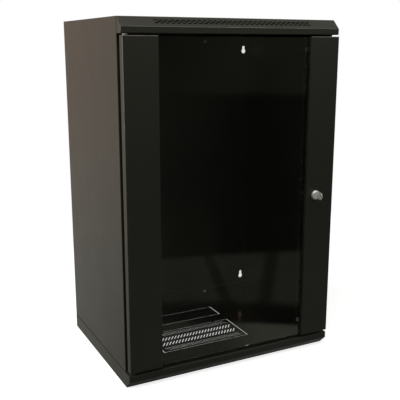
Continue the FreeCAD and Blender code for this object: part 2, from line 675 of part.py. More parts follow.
def stile_pan():
    """The door's left stile as a folded pan with its welded studs, before any hinge or lock hole."""
    outer = -DOOR_HALF
    inner = outer + STILE_WIDTH
    outside = box((outer, DOOR_FRONT, DOOR_BOTTOM), (inner, DOOR_REAR, DOOR_TOP))
    front_edges = edges_where(outside, lambda p: abs(p.y - DOOR_FRONT) < 1e-6)
    rear_edge = edges_where(outside, lambda p: abs(p.y - DOOR_REAR) < 1e-6 and abs(p.x - outer) < 1e-6)
    outside = outside.makeFillet(FOLD_RADIUS, front_edges + rear_edge)
    low = DOOR_BOTTOM + SHEET
    high = DOOR_TOP - SHEET
    inside = box((outer + SHEET, DOOR_SKIN, low), (inner - SHEET, DOOR_REAR - SHEET, high))
    rear_opening = box(
        (outer + STILE_REAR_FOLD, DOOR_REAR - SHEET - PAST, low),
        (inner + PAST, DOOR_REAR + PAST, high))
    glass_side = box(
        (inner - SHEET - PAST, DOOR_FRONT + STILE_INNER_FOLD, low),
        (inner + PAST, DOOR_REAR + PAST, high))
    pan = outside.cut([inside, rear_opening, glass_side])
    studs = [
        bar_along_y(STUD_RADIUS, -STUD_X, level, DOOR_SKIN, DOOR_SKIN + STUD_LENGTH)
        for level in CLIP_LEVELS]
    return pan.fuse(studs).removeSplitter()


def hinge_stile():
    """The stile on the hinge side, open for the upper pin and the lower bush."""
    pin_hole = hinge_bar(PIN_RADIUS + BOLT_FIT, DOOR_TOP - SHEET - PAST, DOOR_TOP + PAST)
    bush_hole = hinge_bar(BUSH_RADIUS, DOOR_BOTTOM - PAST, DOOR_BOTTOM + SHEET + PAST)
    return stile_pan().cut([pin_hole, bush_hole])


def flatted_bar(radius, flats, start, end):
    """A round bar along +Y with two upright flats, on the lock's axis."""
    bar = lock_bar(radius, start, end)
    slab = box(
        (LOCK_X - flats / 2, start, LOCK_LEVEL - radius),
        (LOCK_X + flats / 2, end, LOCK_LEVEL + radius))
    return bar.common(slab)


def lock_stile():
    """The stile on the lock side, open for the lock body."""
    hole = flatted_bar(
        LOCK_BODY_RADIUS + SCREW_FIT, LOCK_BODY_FLATS + 2 * SCREW_FIT, DOOR_FRONT - PAST, DOOR_SKIN + PAST)
    return mirrored(stile_pan()).cut(hole)


def door_glass():
    """The pane, with ground edges."""
    pane = box((-GLASS_HALF, GLASS_FRONT, GLASS_BOTTOM), (GLASS_HALF, GLASS_REAR, GLASS_TOP))
    return pane.makeChamfer(GLASS_ARRIS, pane.Edges)


def left_glass_seal():
    """The rubber channel on the pane's left edge, which shows as a line beside the stile."""
    show = -DOOR_HALF + STILE_WIDTH + SEAL_SHOW
    outside = box(
        (-SEAL_EDGE, GLASS_FRONT - SEAL_WALL, GLASS_BOTTOM), (show, GLASS_REAR + SEAL_WALL, GLASS_TOP))
    groove = box(
        (-GLASS_HALF, GLASS_FRONT, GLASS_BOTTOM - PAST),
        (show + PAST, GLASS_REAR, GLASS_TOP + PAST))
    return outside.cut(groove)


def glass_clip(level):
    """One stepped clip of the left stile: foot on the stile, riser, finger behind the seal."""
    seat = GLASS_REAR + SEAL_WALL
    riser = -CLIP_RISER
    outline = [
        (riser - CLIP_SHEET - CLIP_FOOT, DOOR_SKIN, 0),
        (riser, DOOR_SKIN, 0),
        (riser, seat, 0),
        (-SEAL_EDGE + CLIP_REACH, seat, 0),
        (-SEAL_EDGE + CLIP_REACH, seat + CLIP_SHEET, 0),
        (riser - CLIP_SHEET, seat + CLIP_SHEET, CLIP_SHEET),
        (riser - CLIP_SHEET, DOOR_SKIN + CLIP_SHEET, 0),
        (riser - CLIP_SHEET - CLIP_FOOT, DOOR_SKIN + CLIP_SHEET, 0),
    ]
    clip = rounded_face(outline, in_plan(level - CLIP_HEIGHT / 2)).extrude(Vector(0, 0, CLIP_HEIGHT))
    foot_top = DOOR_SKIN + CLIP_SHEET
    hole = bar_along_y(STUD_RADIUS + BOLT_FIT, -STUD_X, level, DOOR_SKIN - PAST, foot_top + PAST)
    return clip.cut(hole)


def glass_clips():
    """The clips of both stiles."""
    left = [glass_clip(level) for level in CLIP_LEVELS]
    return Part.makeCompound(left + [mirrored(clip) for clip in left])


def glass_clip_nuts():
    """The nuts that hold the clips on the welded studs."""
    start = DOOR_SKIN + CLIP_SHEET
    end = start + CLIP_NUT_HEIGHT
    nuts = []
    for x in (-STUD_X, STUD_X):
        for z in CLIP_LEVELS:
            bore = bar_along_y(STUD_RADIUS + SCREW_FIT, x, z, start - PAST, end + PAST)
            nuts.append(hexagon(CLIP_NUT_FLATS, (x, start, z), (x, end, z)).cut(bore))
    return Part.makeCompound(nuts)


def pin_bracket_levels():
    """The levels of the pin bracket's foot and head."""
    head = DOOR_TOP - SHEET
    return head - PIN_BRACKET_HEIGHT, head


def hinge_pin_bracket():
    """The folded bracket inside the hinge stile: a web on the stile's wall and two drilled legs."""
    low, high = pin_bracket_levels()
    wall = -DOOR_HALF + SHEET
    near = HINGE_Y - PIN_BRACKET_WIDTH / 2
    far = HINGE_Y + PIN_BRACKET_WIDTH / 2
    outside = box((wall, near, low), (wall + PIN_BRACKET_LEG, far, high))
    inside = box(
        (wall + PIN_BRACKET_SHEET, near - PAST, low + PIN_BRACKET_SHEET),
        (wall + PIN_BRACKET_LEG + PAST, far + PAST, high - PIN_BRACKET_SHEET))
    bore = hinge_bar(PIN_RADIUS + RUNNING_FIT, low - PAST, high + PAST)
    return outside.cut([inside, bore])


def lower_hinge_bush():
    """The nylon bush in the foot of the hinge stile."""
    seat = DOOR_BOTTOM + SHEET
    neck = hinge_bar(BUSH_RADIUS, DOOR_BOTTOM, seat)
    flange = hinge_bar(BUSH_FLANGE_RADIUS, seat, seat + BUSH_FLANGE)
    bore = hinge_bar(PIN_RADIUS + RUNNING_FIT, DOOR_BOTTOM - PAST, seat + BUSH_FLANGE + PAST)
    return neck.fuse(flange).cut(bore).removeSplitter()


def pin_collar_levels():
    """The underside and the top of the collar on the upper pin."""
    top = pin_bracket_levels()[1] - PIN_BRACKET_SHEET - SHOULDER_GAP
    return top - PIN_COLLAR, top


def upper_hinge_pin():
    """The sprung pin: a rod with a collar, bent at its foot into a finger lever."""
    tip = HOOD_BOTTOM - BUSH_COLLAR + PIN_ENGAGEMENT
    foot = pin_bracket_levels()[0] - PIN_LEVER_DROP
    bend = foot + PIN_BEND_RADIUS
    shaft = hinge_bar(PIN_RADIUS, bend, tip)
    tip_rim = [edge for edge in shaft.Edges if edge.BoundBox.ZMin > tip - PIN_RADIUS / 2]
    shaft = shaft.makeChamfer(PIN_RADIUS / 3, tip_rim)
    circle = Part.makeCircle(PIN_RADIUS, Vector(HINGE_X, HINGE_Y, bend), Vector(0, 0, 1))
    lever_start = HINGE_X + PIN_BEND_RADIUS
    elbow = Part.Face(Part.Wire(circle)).revolve(Vector(lever_start, HINGE_Y, bend), Vector(0, 1, 0), -90)
    lever = rod(PIN_RADIUS, (lever_start, HINGE_Y, foot), (lever_start + PIN_LEVER_LENGTH, HINGE_Y, foot))
    low, high = pin_collar_levels()
    collar = hinge_bar(PIN_COLLAR_RADIUS, low, high)
    return shaft.fuse([elbow, lever, collar]).removeSplitter()


def hinge_spring():
    """The compression spring between the bracket's lower leg and the pin's collar."""
    half = SPRING_WIRE / 2
    low = pin_bracket_levels()[0] + PIN_BRACKET_SHEET + SHOULDER_GAP + half
    high = pin_collar_levels()[0] - SHOULDER_GAP - half
    helix = Part.makeHelix((high - low) / SPRING_TURNS, high - low, SPRING_RADIUS)
    corners = [(-half, -half), (half, -half), (half, half), (-half, half), (-half, -half)]
    section = Part.makePolygon([Vector(SPRING_RADIUS + out, 0, up) for out, up in corners])
    spring = Part.Wire(helix.Edges).makePipeShell([section], True, True)
    spring.translate(Vector(HINGE_X, HINGE_Y, low))
    return spring


def lock_barrel():
    """The lock body: a rounded chromed head and a flatted shank, bored for the plug."""
    head = lock_bar(LOCK_HEAD_RADIUS, LOCK_FACE, DOOR_FRONT)
    face_rim = [edge for edge in head.Edges if edge.BoundBox.YMax < LOCK_FACE + LOCK_HEAD / 2]
    head = head.makeFillet(LOCK_HEAD_ROUNDING, face_rim)
    shank = flatted_bar(LOCK_BODY_RADIUS, LOCK_BODY_FLATS, DOOR_FRONT, LOCK_REAR)
    bore = lock_bar(PLUG_RADIUS + RUNNING_FIT, LOCK_FACE - PAST, LOCK_REAR + PAST)
    plug_seat = LOCK_FACE + PLUG_RECESS + PLUG_HEAD + CAM_END_GAP
    counterbore = lock_bar(PLUG_HEAD_RADIUS + RUNNING_FIT, LOCK_FACE - PAST, plug_seat)
    return head.fuse(shank).removeSplitter().cut([bore, counterbore])


def lock_nut():
    """The nut that clamps the lock body to the stile."""
    end = DOOR_SKIN + LOCK_NUT_HEIGHT
    nut = hexagon(LOCK_NUT_FLATS, (LOCK_X, DOOR_SKIN, LOCK_LEVEL), (LOCK_X, end, LOCK_LEVEL))
    bore = flatted_bar(
        LOCK_BODY_RADIUS + SCREW_FIT, LOCK_BODY_FLATS + 2 * SCREW_FIT, DOOR_SKIN - PAST, end + PAST)
    return nut.cut(bore)


def lock_plug():
    """The turning core: head, body with keyway, and the square tang that drives the cam."""
    face = LOCK_FACE + PLUG_RECESS
    head = lock_bar(PLUG_HEAD_RADIUS, face, face + PLUG_HEAD)
    body = lock_bar(PLUG_RADIUS, face + PLUG_HEAD, LOCK_REAR)
    half = TANG_SIZE / 2
    tang = box((LOCK_X - half, LOCK_REAR, LOCK_LEVEL - half), (LOCK_X + half, CAM_REAR, LOCK_LEVEL + half))
    half_key = KEY_THICKNESS / 2 + KEY_FIT
    half_blade = KEY_BLADE_HEIGHT / 2 + KEY_FIT
    keyway = box(
        (LOCK_X - half_key, face - PAST, LOCK_LEVEL - half_blade),
        (LOCK_X + half_key, face + KEY_BLADE_LENGTH + KEY_FIT, LOCK_LEVEL + half_blade))
    screw_end = CAM_REAR - CAM_SCREW_LENGTH - SCREW_FIT
    screw_hole = lock_bar(CAM_SCREW_RADIUS + SCREW_FIT, screw_end, CAM_REAR + PAST)
    return head.fuse([body, tang]).removeSplitter().cut([keyway, screw_hole])


def door_key():
    """The key in the lock, its round bow upright and in line with the lock's axis."""
    face = LOCK_FACE + PLUG_RECESS
    half = KEY_THICKNESS / 2
    half_blade = KEY_BLADE_HEIGHT / 2
    bow_y = LOCK_FACE - KEY_NECK - KEY_BOW_RADIUS
    bow = rod(KEY_BOW_RADIUS, (LOCK_X - half, bow_y, LOCK_LEVEL), (LOCK_X + half, bow_y, LOCK_LEVEL))
    blade = box(
        (LOCK_X - half, bow_y, LOCK_LEVEL - half_blade),
        (LOCK_X + half, face + KEY_BLADE_LENGTH, LOCK_LEVEL + half_blade))
    hole_y = bow_y - KEY_BOW_RADIUS + 2 * KEY_HOLE_RADIUS
    hole = rod(
        KEY_HOLE_RADIUS,
        (LOCK_X - half - PAST, hole_y, LOCK_LEVEL),
        (LOCK_X + half + PAST, hole_y, LOCK_LEVEL))
    return bow.fuse(blade).removeSplitter().cut(hole)


def lock_cam():
    """The tongue, pointing down when the lock is open."""
    half = CAM_WIDTH / 2
    low = LOCK_LEVEL - CAM_REACH
    high = LOCK_LEVEL + half
    corner = CAM_WIDTH / 4
    outline = [
        (LOCK_X - half, low, corner), (LOCK_X + half, low, corner),
        (LOCK_X + half, high, corner), (LOCK_X - half, high, corner)]
    plate = rounded_face(outline, in_front_view(CAM_FRONT)).extrude(Vector(0, CAM_THICKNESS, 0))
    hole_half = TANG_SIZE / 2 + SCREW_FIT
    hole = box(
        (LOCK_X - hole_half, CAM_FRONT - PAST, LOCK_LEVEL - hole_half),
        (LOCK_X + hole_half, CAM_REAR + PAST, LOCK_LEVEL + hole_half))
    return plate.cut(hole)


def cam_screw():
    """The screw that holds the cam on the plug's tang."""
    head = lock_bar(CAM_SCREW_HEAD_RADIUS, CAM_REAR, CAM_REAR + CAM_SCREW_HEAD)
    rear_rim = [edge for edge in head.Edges if edge.BoundBox.YMin > CAM_REAR + CAM_SCREW_HEAD / 2]
    head = head.makeChamfer(CAM_SCREW_HEAD / 3, rear_rim)
    shank = lock_bar(CAM_SCREW_RADIUS, CAM_REAR - CAM_SCREW_LENGTH, CAM_REAR)
    return head.fuse(shank).removeSplitter()


def all_pieces():
    """Every piece of the cabinet by its name."""
    side = left_side_panel()
    rail = right_rack_rail()
    bracket = lower_right_rail_bracket()
    seal = left_glass_seal()
    floor_vent = knockout_plate(VENT_KNOCKOUT_FRONT, VENT_KNOCKOUT_DEPTH, 0).cut(vent_slots())
    return {
        "top_hood": top_hood(),
        "roof_panel": roof_panel(),
        "roof_cable_knockout": knockout_plate(CABLE_KNOCKOUT_FRONT, CABLE_KNOCKOUT_DEPTH, HEIGHT - SHEET),
        "base_tray": base_tray(),
        "floor_vent_knockout": floor_vent,
        "floor_cable_knockout": knockout_plate(CABLE_KNOCKOUT_FRONT, CABLE_KNOCKOUT_DEPTH, 0),
        "left_side_panel": side,
        "right_side_panel": mirrored(side),
        "back_panel": back_panel(),
        "back_panel_screws": back_panel_screws(),
        "left_rack_rail": mirrored(rail),
        "right_rack_rail": rail,
        "lower_left_rail_bracket": mirrored(bracket),
        "lower_right_rail_bracket": bracket,
        "upper_left_rail_bracket": upside_down(mirrored(bracket)),
        "upper_right_rail_bracket": upside_down(bracket),
        "rail_bolts": rail_bolts(),
        "rail_nuts": rail_nuts(),
        "upper_hinge_bush": upper_hinge_bush(),
        "lower_hinge_pin": lower_hinge_pin(),
        "hinge_stile": hinge_stile(),
        "lock_stile": lock_stile(),
        "door_glass": door_glass(),
        "left_glass_seal": seal,
        "right_glass_seal": mirrored(seal),
        "glass_clips": glass_clips(),
        "glass_clip_nuts": glass_clip_nuts(),
        "hinge_pin_bracket": hinge_pin_bracket(),
        "lower_hinge_bush": lower_hinge_bush(),
        "lock_barrel": lock_barrel(),
        "lock_nut": lock_nut(),
        "upper_hinge_pin": upper_hinge_pin(),
        "hinge_spring": hinge_spring(),
        "lock_plug": lock_plug(),
        "door_key": door_key(),
        "lock_cam": lock_cam(),
        "cam_screw": cam_screw(),
    }


os.makedirs("parts", exist_ok=True)
for name, piece in all_pieces().items():
    piece.exportStep("parts/" + name + ".step")
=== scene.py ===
"""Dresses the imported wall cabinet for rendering: finishes, small hardware, studio and camera.

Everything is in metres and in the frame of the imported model: +X to the viewer's right, +Y towards
the wall, +Z up, with the origin under the middle of the base.
"""

import json
import logging
import math
from collections.abc import Callable, Mapping
from dataclasses import astuple, dataclass
from enum import Enum
from functools import partial
from typing import ClassVar

import bmesh
import bpy
from bpy.types import ID, Material, Node, NodeSocket, NodeTree, Object, World
from mathutils import Euler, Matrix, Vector


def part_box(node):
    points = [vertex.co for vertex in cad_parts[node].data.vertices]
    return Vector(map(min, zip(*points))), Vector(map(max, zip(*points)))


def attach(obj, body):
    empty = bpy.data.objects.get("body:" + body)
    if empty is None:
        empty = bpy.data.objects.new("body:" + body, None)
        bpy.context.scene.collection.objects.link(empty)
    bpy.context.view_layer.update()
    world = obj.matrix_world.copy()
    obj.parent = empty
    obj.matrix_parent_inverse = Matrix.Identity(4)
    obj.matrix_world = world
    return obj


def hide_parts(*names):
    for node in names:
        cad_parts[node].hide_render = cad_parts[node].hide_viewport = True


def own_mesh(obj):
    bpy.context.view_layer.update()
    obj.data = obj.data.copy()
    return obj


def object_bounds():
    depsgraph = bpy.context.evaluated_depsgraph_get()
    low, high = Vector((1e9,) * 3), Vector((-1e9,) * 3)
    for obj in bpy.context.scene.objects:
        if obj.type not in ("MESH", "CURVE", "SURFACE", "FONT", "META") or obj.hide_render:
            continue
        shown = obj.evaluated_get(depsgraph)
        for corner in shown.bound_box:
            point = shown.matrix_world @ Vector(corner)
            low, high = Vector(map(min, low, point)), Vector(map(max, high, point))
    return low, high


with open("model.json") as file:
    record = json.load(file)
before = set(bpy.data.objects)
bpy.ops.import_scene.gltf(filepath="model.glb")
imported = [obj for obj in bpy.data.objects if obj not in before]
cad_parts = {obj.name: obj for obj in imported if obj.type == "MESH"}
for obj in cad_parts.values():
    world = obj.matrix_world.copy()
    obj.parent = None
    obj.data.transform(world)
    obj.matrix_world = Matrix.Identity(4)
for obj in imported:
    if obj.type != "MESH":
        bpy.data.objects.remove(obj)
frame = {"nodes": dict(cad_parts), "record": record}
CAD_BOX = [list(corner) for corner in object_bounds()]

LOG = logging.getLogger("rack_cabinet")
MM = 0.001
WELD = 0.001 * MM
SORT_DIGITS = 4
NUT_PLAY = 0.1 * MM
NEARLY_ZERO = 1e-6
FULL_TURN = 2 * math.pi
QUARTER_TURN = FULL_TURN / 4
SIXTH_TURN = FULL_TURN / 6
SHARP_ANGLE = math.radians(32)
RIGHTWARDS = Vector((1.0, 0.0, 0.0))
TOWARDS_VIEWER = Vector((0.0, -1.0, 0.0))
TOWARDS_WALL = Vector((0.0, 1.0, 0.0))
UPWARDS = Vector((0.0, 0.0, 1.0))
WHITE = (1.0, 1.0, 1.0)
RAMP_INPUTS = ("Value", "From Min", "From Max", "To Min", "To Max")

Colour = tuple[float, float, float]
Point = tuple[float, float, float]
Ring = list[Vector]
Radius = float | Callable[[float], float]
Profile = list[tuple[Radius, float]]
Shares = tuple[tuple[float, float], ...]
Sockets = Mapping[str, NodeSocket]


class Body(Enum):
    """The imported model's bodies."""

    CABINET = "cabinet"
    DOOR = "door"
    HINGE_PIN = "hinge_pin"
    LOCK = "lock"


class Slot(Enum):
    """The record's material slots."""

    PAINT = "black_paint"
    ZINC = "zinc_steel"
    DARK_STEEL = "dark_steel"
    NICKEL = "nickel"
    CHROME = "chrome"
    GLASS = "dark_glass"
    RUBBER = "black_rubber"
    NYLON = "white_nylon"


class Ends(Enum):
    """How the first and the last ring of a skin are finished."""

    CAPPED = "capped"
    JOINED = "joined"


@dataclass(frozen=True)
class Ramp:
    """A smooth change from low to high between start and end, held on both sides."""

    start: float
    end: float
    low: float = 0.0
    high: float = 1.0


@dataclass
class Graph:
    """Adds and joins the nodes of one shader node tree."""

    tree: NodeTree

    def node(
            self, kind: str, inputs: dict[str | int, object] | None = None,
            **settings: object) -> Node:
        """Adds a node.

        Args:
            kind: Blender's name for the type of node.
            inputs: values or sockets for its inputs, by the input's name or place.
            settings: properties of the node.

        Returns:
            The new node.
        """
        made = self.tree.nodes.new(kind)
        for key, value in settings.items():
            setattr(made, key, value)
        self.fill(made, inputs or {})
        return made

    def fill(self, node: Node, inputs: dict[str | int, object]) -> None:
        """Feeds a node's inputs, by name or place."""
        for key, value in inputs.items():
            self.feed(node.inputs[key], value)

    def feed(self, target: NodeSocket, value: object) -> None:
        """Joins a socket to an input, or sets the input's own value.

        Args:
            target: the input.
            value: an output socket, a number, a vector or a colour.
        """
        if isinstance(value, NodeSocket):
            self.tree.links.new(value, target)
        elif target.type == "RGBA":
            target.default_value = (*value, 1.0)
        else:
            target.default_value = value

    def effect(self, group: NodeTree, **inputs: float) -> Sockets:
        """Places a shared effect with its own values, and gives its outputs."""
        return self.node("ShaderNodeGroup", dict(inputs), node_tree=group).outputs

    def math(self, operation: str, first: object, *others: object) -> NodeSocket:
        """Works through values from the first to the last.

        Args:
            operation: Blender's name for the sum.
            first: a value or socket.
            others: more values or sockets, or none for a sum of one value.

        Returns:
            The result's socket.
        """
        result = first
        for other in others or (0.0,):
            made = self.node("ShaderNodeMath", {0: result, 1: other}, operation=operation)
            result = made.outputs[0]
        return result

    def dot(self, first: object, second: object) -> NodeSocket:
        """The dot product of two vectors or sockets."""
        made = self.node("ShaderNodeVectorMath", {0: first, 1: second}, operation="DOT_PRODUCT")
        return made.outputs["Value"]

    def split(self, vector: NodeSocket) -> Sockets:
        """The parts of a vector along X, Y and Z."""
        return self.node("ShaderNodeSeparateXYZ", {"Vector": vector}).outputs

    def spread(self, value: NodeSocket, ramp: Ramp) -> NodeSocket:
        """Maps a value along a ramp."""
        inputs = dict(zip(RAMP_INPUTS, (value, *astuple(ramp))))
        return self.node("ShaderNodeMapRange", inputs, interpolation_type="SMOOTHSTEP").outputs["Result"]

    def choose(self, flag: NodeSocket, usual: object, special: object) -> NodeSocket:
        """Takes the usual value where a flag is 0 and the special one where it is 1."""
        made = self.node("ShaderNodeMix", {"Factor": flag, "A": usual, "B": special}, data_type="FLOAT")
        return made.outputs["Result"]

    def mix(self, amount: object, first: object, second: object) -> NodeSocket:
        """Mixes two colours.

        Args:
            amount: share of the second colour, as a value or socket.
            first: a colour or socket.
            second: a colour or socket.

        Returns:
            The mixed colour's socket.
        """
        made = self.node("ShaderNodeMix", {"Factor": amount}, data_type="RGBA")
        colours = [socket for socket in made.inputs if socket.type == "RGBA"]
        self.feed(colours[0], first)
        self.feed(colours[1], second)
        return next(socket for socket in made.outputs if socket.type == "RGBA")

    def noise(self, scale: object, detail: float, stretch: Point = (1.0, 1.0, 1.0)) -> NodeSocket:
        """A noise that stays with the piece it is on.

        Args:
            scale: repeats in a metre, as a value or socket.
            detail: how many finer layers are added.
            stretch: scale of each axis.

        Returns:
            The socket of the noise, from 0 to 1.
        """
        place = self.node("ShaderNodeTexCoord").outputs["Object"]
        stretched = self.node("ShaderNodeMapping", {"Vector": place, "Scale": stretch}).outputs["Vector"]
        made = self.node("ShaderNodeTexNoise", {"Vector": stretched, "Scale": scale, "Detail": detail})
        return made.outputs["Fac"]

    def bump(self, strength: float, depth: float, height: NodeSocket) -> NodeSocket:
        """The normal of a surface with a height pressed into it."""
        made = self.node("ShaderNodeBump", {"Strength": strength, "Distance": depth, "Height": height})
        return made.outputs["Normal"]


def cleared_graph(owner: Material | World) -> Graph:
    """Starts the nodes of a material or a world.

    Args:
        owner: the material or the world.

    Returns:
        Its graph, with no nodes yet.
    """
    owner.use_nodes = True
    owner.node_tree.nodes.clear()
    return Graph(owner.node_tree)


class Effects:
    """The surface effects that several finishes share, each a node group that is built once."""

    PEBBLE_SHARE = 0.7
    GRIT_SHARE = 0.3
    GRIT_FINENESS = 2.6
    SPECKLE = Ramp(0.38, 0.68)
    RUBBED_EDGE = Ramp(0.02, 0.22)
    EDGE_PATCHES = Ramp(0.36, 0.66, 0.25, 1.0)
    # HOOD_NORMAL to FOLD_PATCHES shape the painted highlight on the level folds that look up.
    HOOD_NORMAL = (0.0, 0.699, 0.715)
    OFF_FLAT_FACES = Ramp(0.975, 0.996, 1.0, 0.0)
    ALONG_THE_FRONT = Ramp(0.05, 0.25, 1.0, 0.0)
    LOOKING_UP = Ramp(0.02, 0.15)
    FOLD_PATCHES = Ramp(0.36, 0.66, 0.7, 1.0)
    # NARROW_GAP turns occlusion into painted shade in narrow gaps.
    NARROW_GAP = Ramp(0.25, 0.85, 1.0, 0.0)
    SEAM_LINE = Ramp(0.0005, 0.0035, 0.8, 0.0)
    JOINT_LINE = Ramp(0.0010, 0.0035, 0.9, 0.0)
    ABOVE_SEAM = Ramp(0.0, 0.003)
    TOP_FACES = Ramp(0.55, 0.98)
    DUST_DRIFTS = Ramp(0.34, 0.68, 0.35, 1.0)
    DUST_SPECKS = Ramp(0.40, 0.72, 0.5, 1.0)
    PATCHES = Ramp(0.30, 0.70)
    STREAKS = Ramp(0.3, 0.7)
    LINE_STRETCH = (1.0, 1.0, 0.06)

    def __init__(self) -> None:
        """Builds every group."""
        self.fine_texture = self._fine_texture()
        self.edge_wear = self._edge_wear()
        # A painted highlight on the level folds that look up.
        self.painted_fold_highlight = self._painted_fold_highlight()
        # Painted shade in narrow gaps, and dark lines along the seams.
        self.gap_shade_and_seam_lines = self._gap_shade_and_seam_lines()
        self.settled_dust = self._settled_dust()
        self.soft_patches = self._soft_patches()
        self.drawn_lines = self._drawn_lines()

    @staticmethod
    def _start(name: str, takes: dict[str, float], *gives: str) -> tuple[Graph, Sockets, Sockets]:
        """Starts a group with number sockets.

        Args:
            name: the group's name.
            takes: its inputs and their usual values.
            gives: its outputs.

        Returns:
            The group's graph, its inputs and its outputs.
        """
        tree = bpy.data.node_groups.new(name, "ShaderNodeTree")
        for key, usual in takes.items():
            made = tree.interface.new_socket(name=key, in_out="INPUT", socket_type="NodeSocketFloat")
            made.default_value = usual
        for key in gives:
            tree.interface.new_socket(name=key, in_out="OUTPUT", socket_type="NodeSocketFloat")
        graph = Graph(tree)
        return graph, graph.node("NodeGroupInput").outputs, graph.node("NodeGroupOutput").inputs

    def _fine_texture(self) -> NodeTree:
        """The pebbled skin of powder coat, rubber and moulded plastic, as a height and a speckle.

        Returns:
            The group.
        """
        graph, takes, gives = self._start("fine_texture", {"Size": 0.0012}, "Height", "Speckle")
        scale = graph.math("DIVIDE", 1.0, takes["Size"])
        pebbles = graph.noise(scale, detail=2.0)
        grit = graph.noise(graph.math("MULTIPLY", scale, self.GRIT_FINENESS), detail=1.0)
        pebbles_part = graph.math("MULTIPLY", pebbles, self.PEBBLE_SHARE)
        grit_part = graph.math("MULTIPLY", grit, self.GRIT_SHARE)
        graph.feed(gives["Height"], graph.math("ADD", pebbles_part, grit_part))
        graph.feed(gives["Speckle"], graph.spread(grit, self.SPECKLE))
        return graph.tree

    def _edge_wear(self) -> NodeTree:
        """Where folded and cut edges are rubbed, broken up into patches.

        Returns:
            The group.
        """
        graph, takes, gives = self._start("edge_wear", {"Reach": 0.0015}, "Mask")
        eased = graph.node("ShaderNodeBevel", {"Radius": takes["Reach"]}, samples=4).outputs["Normal"]
        normal = graph.node("ShaderNodeNewGeometry").outputs["Normal"]
        turned = graph.math("SUBTRACT", 1.0, graph.dot(eased, normal))
        edge = graph.spread(turned, self.RUBBED_EDGE)
        patches = graph.spread(graph.noise(scale=24.0, detail=4.0), self.EDGE_PATCHES)
        graph.feed(gives["Mask"], graph.math("MULTIPLY", edge, patches))
        return graph.tree

    def _painted_fold_highlight(self) -> NodeTree:
        """A painted highlight on the level folds that look up, found by normals that lie along none of
        the flat faces.

        Returns:
            The group.
        """
        graph, takes, gives = self._start("painted_fold_highlight", {"Amount": 0.5}, "Mask")
        normal = graph.node("ShaderNodeTexCoord").outputs["Normal"]
        absolute = graph.node("ShaderNodeVectorMath", {"Vector": normal}, operation="ABSOLUTE")
        sizes = absolute.outputs["Vector"]
        shares = graph.split(sizes)
        slant = graph.dot(sizes, self.HOOD_NORMAL)
        flat = graph.math("MAXIMUM", shares["Y"], shares["Z"], slant)
        fold = graph.math(
            "MULTIPLY", graph.spread(flat, self.OFF_FLAT_FACES),
            graph.spread(shares["X"], self.ALONG_THE_FRONT),
            graph.spread(graph.split(normal)["Z"], self.LOOKING_UP))
        patches = graph.spread(graph.noise(scale=30.0, detail=3.0), self.FOLD_PATCHES)
        graph.feed(gives["Mask"], graph.math("MULTIPLY", fold, patches, takes["Amount"]))
        return graph.tree

    def _gap_shade_and_seam_lines(self) -> NodeTree:
        """Painted shade in narrow gaps, found by occlusion, and a dark line along the base's level seam
        and along the upright joint above it.

        Returns:
            The group, which takes the seam's height and the joint's place along Y.
        """
        inputs = {"Reach": 0.006, "Seam": 0.04, "Joint": -0.2}
        graph, takes, gives = self._start("gap_shade_and_seam_lines", inputs, "Mask")
        # Occlusion within reach marks the narrow gaps where shade is painted in.
        seen = graph.node("ShaderNodeAmbientOcclusion", {"Distance": takes["Reach"]}, samples=6)
        gap = graph.spread(seen.outputs["AO"], self.NARROW_GAP)
        place = graph.split(graph.node("ShaderNodeTexCoord").outputs["Object"])
        above = graph.math("SUBTRACT", place["Z"], takes["Seam"])
        level = graph.spread(graph.math("ABSOLUTE", above), self.SEAM_LINE)
        behind = graph.math("ABSOLUTE", graph.math("SUBTRACT", place["Y"], takes["Joint"]))
        upright = graph.math(
            "MULTIPLY", graph.spread(behind, self.JOINT_LINE), graph.spread(above, self.ABOVE_SEAM))
        graph.feed(gives["Mask"], graph.math("MAXIMUM", gap, level, upright))
        return graph.tree

    def _settled_dust(self) -> NodeTree:
        """A thin film of dust on the faces that look up.

        Returns:
            The group.
        """
        graph, takes, gives = self._start("settled_dust", {"Amount": 0.2}, "Mask")
        normal = graph.node("ShaderNodeNewGeometry").outputs["Normal"]
        facing = graph.spread(graph.split(normal)["Z"], self.TOP_FACES)
        drifts = graph.spread(graph.noise(scale=9.0, detail=6.0), self.DUST_DRIFTS)
        specks = graph.spread(graph.noise(scale=900.0, detail=2.0), self.DUST_SPECKS)
        graph.feed(gives["Mask"], graph.math("MULTIPLY", facing, drifts, specks, takes["Amount"]))
        return graph.tree

    def _soft_patches(self) -> NodeTree:
        """Slow drifts of tone and gloss, such as wiped or handled areas.

        Returns:
            The group.
        """
        graph, takes, gives = self._start("soft_patches", {"Size": 0.15}, "Mask")
        scale = graph.math("DIVIDE", 1.0, takes["Size"])
        graph.feed(gives["Mask"], graph.spread(graph.noise(scale, detail=3.0), self.PATCHES))
        return graph.tree

    def _drawn_lines(self) -> NodeTree:
        """The fine lines of drawn, turned or plated metal, as a height and a streak.

        Returns:
            The group.
        """
        graph, takes, gives = self._start("drawn_lines", {"Size": 0.0008}, "Height", "Streak")
        scale = graph.math("DIVIDE", 1.0, takes["Size"])
        lines = graph.noise(scale, detail=2.0, stretch=self.LINE_STRETCH)
        graph.feed(gives["Height"], lines)
        graph.feed(gives["Streak"], graph.spread(lines, self.STREAKS))
        return graph.tree


@dataclass(frozen=True)
class Finish:
    """What every finish has: a name, a colour, a gloss and the record's slot that it dresses."""

    name: str
    slot: Slot
    colour: Colour
    roughness: float

    def material(self, effects: Effects) -> Material:
        """Builds the finish.

        Args:
            effects: the shared effects.

        Returns:
            The material.
        """
        material = bpy.data.materials.new(self.name)
        graph = cleared_graph(material)
        shader = graph.node("ShaderNodeBsdfPrincipled")
        graph.node("ShaderNodeOutputMaterial", {"Surface": shader.outputs["BSDF"]})
        graph.fill(shader, self.surface(graph, effects))
        return material

    def surface(self, graph: Graph, effects: Effects) -> dict[str, object]:
        """Works out what feeds the shader's inputs: each finish has its own."""
        raise NotImplementedError


